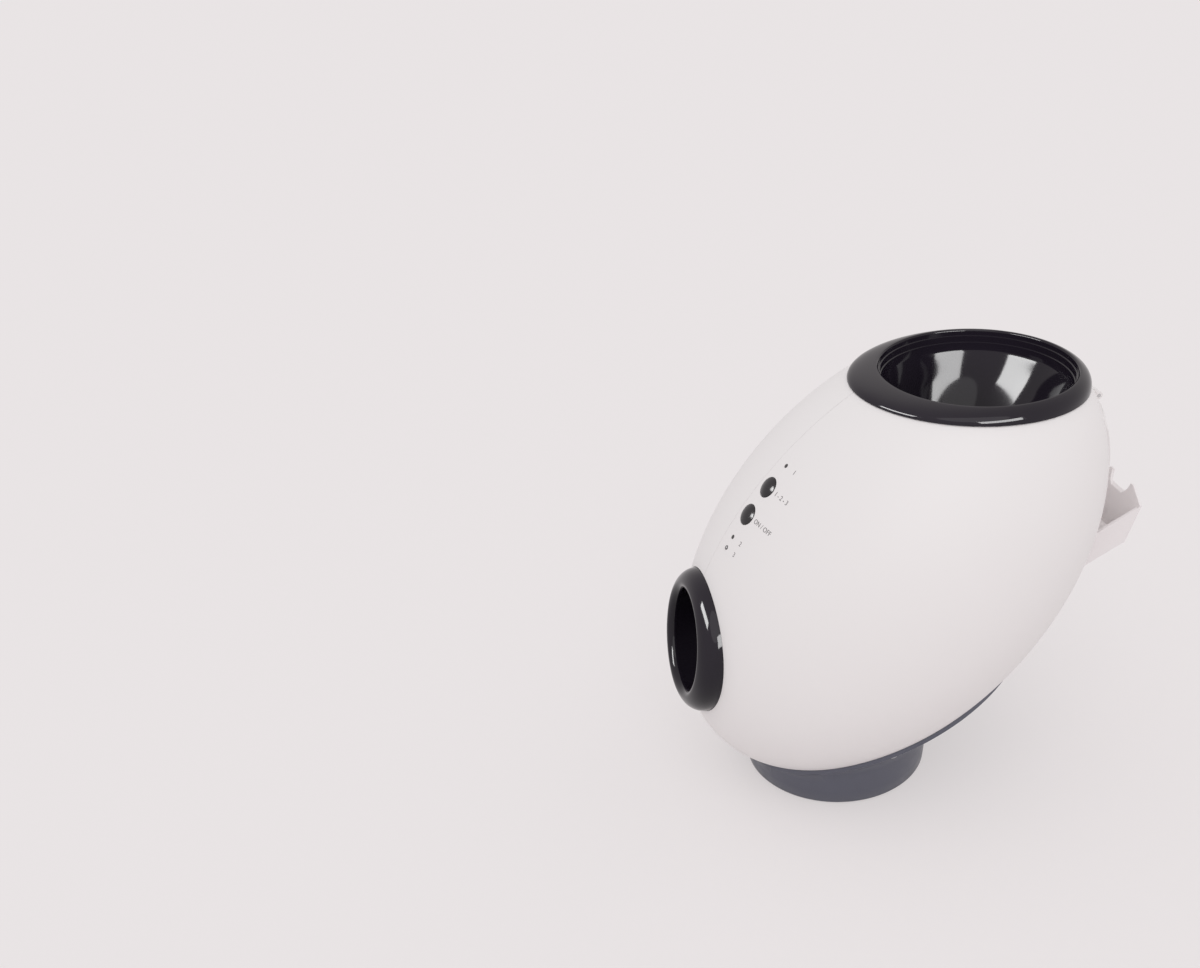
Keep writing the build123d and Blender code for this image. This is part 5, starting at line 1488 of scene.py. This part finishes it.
@dataclass
class Fasteners(SubAssembly):
    """Screws with cross recesses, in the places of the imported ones."""

    head_radius: float = 2.9
    head_high: float = 1.8
    shank_radius: float = 1.35

    def islands(self, node: str) -> list[np.ndarray]:
        """Finds each separate screw of a node, always in the same order.

        Args:
            node: the node.

        Returns:
            The points of each screw, in millimetres.
        """
        work = merged_copy(node)
        left = dict.fromkeys(work.verts)
        found: list[np.ndarray] = []
        while left:
            waiting = [left.popitem()[0]]
            island = []
            while waiting:
                vert = waiting.pop()
                island.append(vert.co / MM)
                for side in vert.link_edges:
                    other = side.other_vert(vert)
                    if other in left:
                        del left[other]
                        waiting.append(other)
            found.append(np.array(island))
        work.free()
        return found

    def measure(self, spots: np.ndarray) -> tuple[np.ndarray, np.ndarray, float]:
        """Seat, direction and shank length of one screw.

        Args:
            spots: the screw's points in millimetres.

        Returns:
            The centre of the head's underside, the direction out of the head, and the shank's length.
        """
        middle = spots.mean(axis=0)
        way = np.linalg.svd(spots - middle, full_matrices=False)[2][0]
        height = (spots - middle) @ way
        side = np.linalg.norm(spots - middle - np.outer(height, way), axis=1)
        head = side > (self.head_radius + self.shank_radius) / 2
        if height[head].mean() < (height.max() + height.min()) / 2:
            way, height = -way, -height
        axis_point = spots[head].mean(axis=0)
        seat = axis_point + way * (height[head].min() - (axis_point - middle) @ way)
        return seat, way, float(height[head].min() - height.min())

    def make(self) -> None:
        """Builds and dresses the screws of each node."""
        tree = make_screw_tree()
        sizes = {
            "Head Radius": self.head_radius * MM, "Head Height": self.head_high * MM,
            "Shank Radius": self.shank_radius * MM}
        for node in NODE_LOOKS[Look.ZINC]:
            seats, ways, lengths = zip(*(self.measure(spots) for spots in self.islands(node)))
            seeds = seed_mesh([tuple(seat * MM) for seat in seats])
            facing = seeds.attributes.new("facing", "FLOAT_VECTOR", "POINT")
            facing.data.foreach_set("vector", np.concatenate(ways))
            shank = seeds.attributes.new("shank", "FLOAT", "POINT")
            shank.data.foreach_set("value", [length * MM for length in lengths])
            name = f"{node}_crosshead"
            screws = smoothed(tree.grow(name, seeds, sizes, self.paints.of(Look.ZINC)))
            self.show(name, screws, Look.ZINC, "housing", "screws", node)


@dataclass
class Pads(SubAssembly):
    """Rubber pads under the foot."""

    radius: float = 8.0
    thick: float = 2.5
    ring: float = 53.0
    count: int = 4

    def make(self) -> None:
        """Builds and dresses the pads."""
        turns = [2 * pi * index / self.count for index in range(self.count)]
        around = [(self.ring * MM * cos(turn), self.ring * MM * sin(turn), 0.0) for turn in turns]
        seeds = seed_mesh([(0.0, 0.0, 0.0), *around])
        sizes = {"Radius": self.radius * MM, "Thickness": self.thick * MM}
        name = "ringed_foot_pads"
        pads = smoothed(make_pad_tree().grow(name, seeds, sizes, self.paints.of(Look.PAD)))
        self.show(name, pads, Look.PAD, "housing", "pads", "foot_pads")


def main() -> None:
    """Builds the launcher's looks piece by piece."""
    logging.basicConfig(level=logging.INFO, format="%(message)s")
    paints = Paints()
    gloss = Studio().make()
    paint_nodes(paints)
    for kind in (Housing, Bowl, Muzzle, ButtonRow, Tray, Wheels, Fasteners, Pads):
        LOG.info("Building %s", kind.__name__)
        kind(paints).make()
    for name in ("bowl", "muzzle_trim", "mode_button_cap", "power_button_cap"):
        gloss.objects.link(bpy.data.objects[name])


if __name__ == "__main__":
    main()
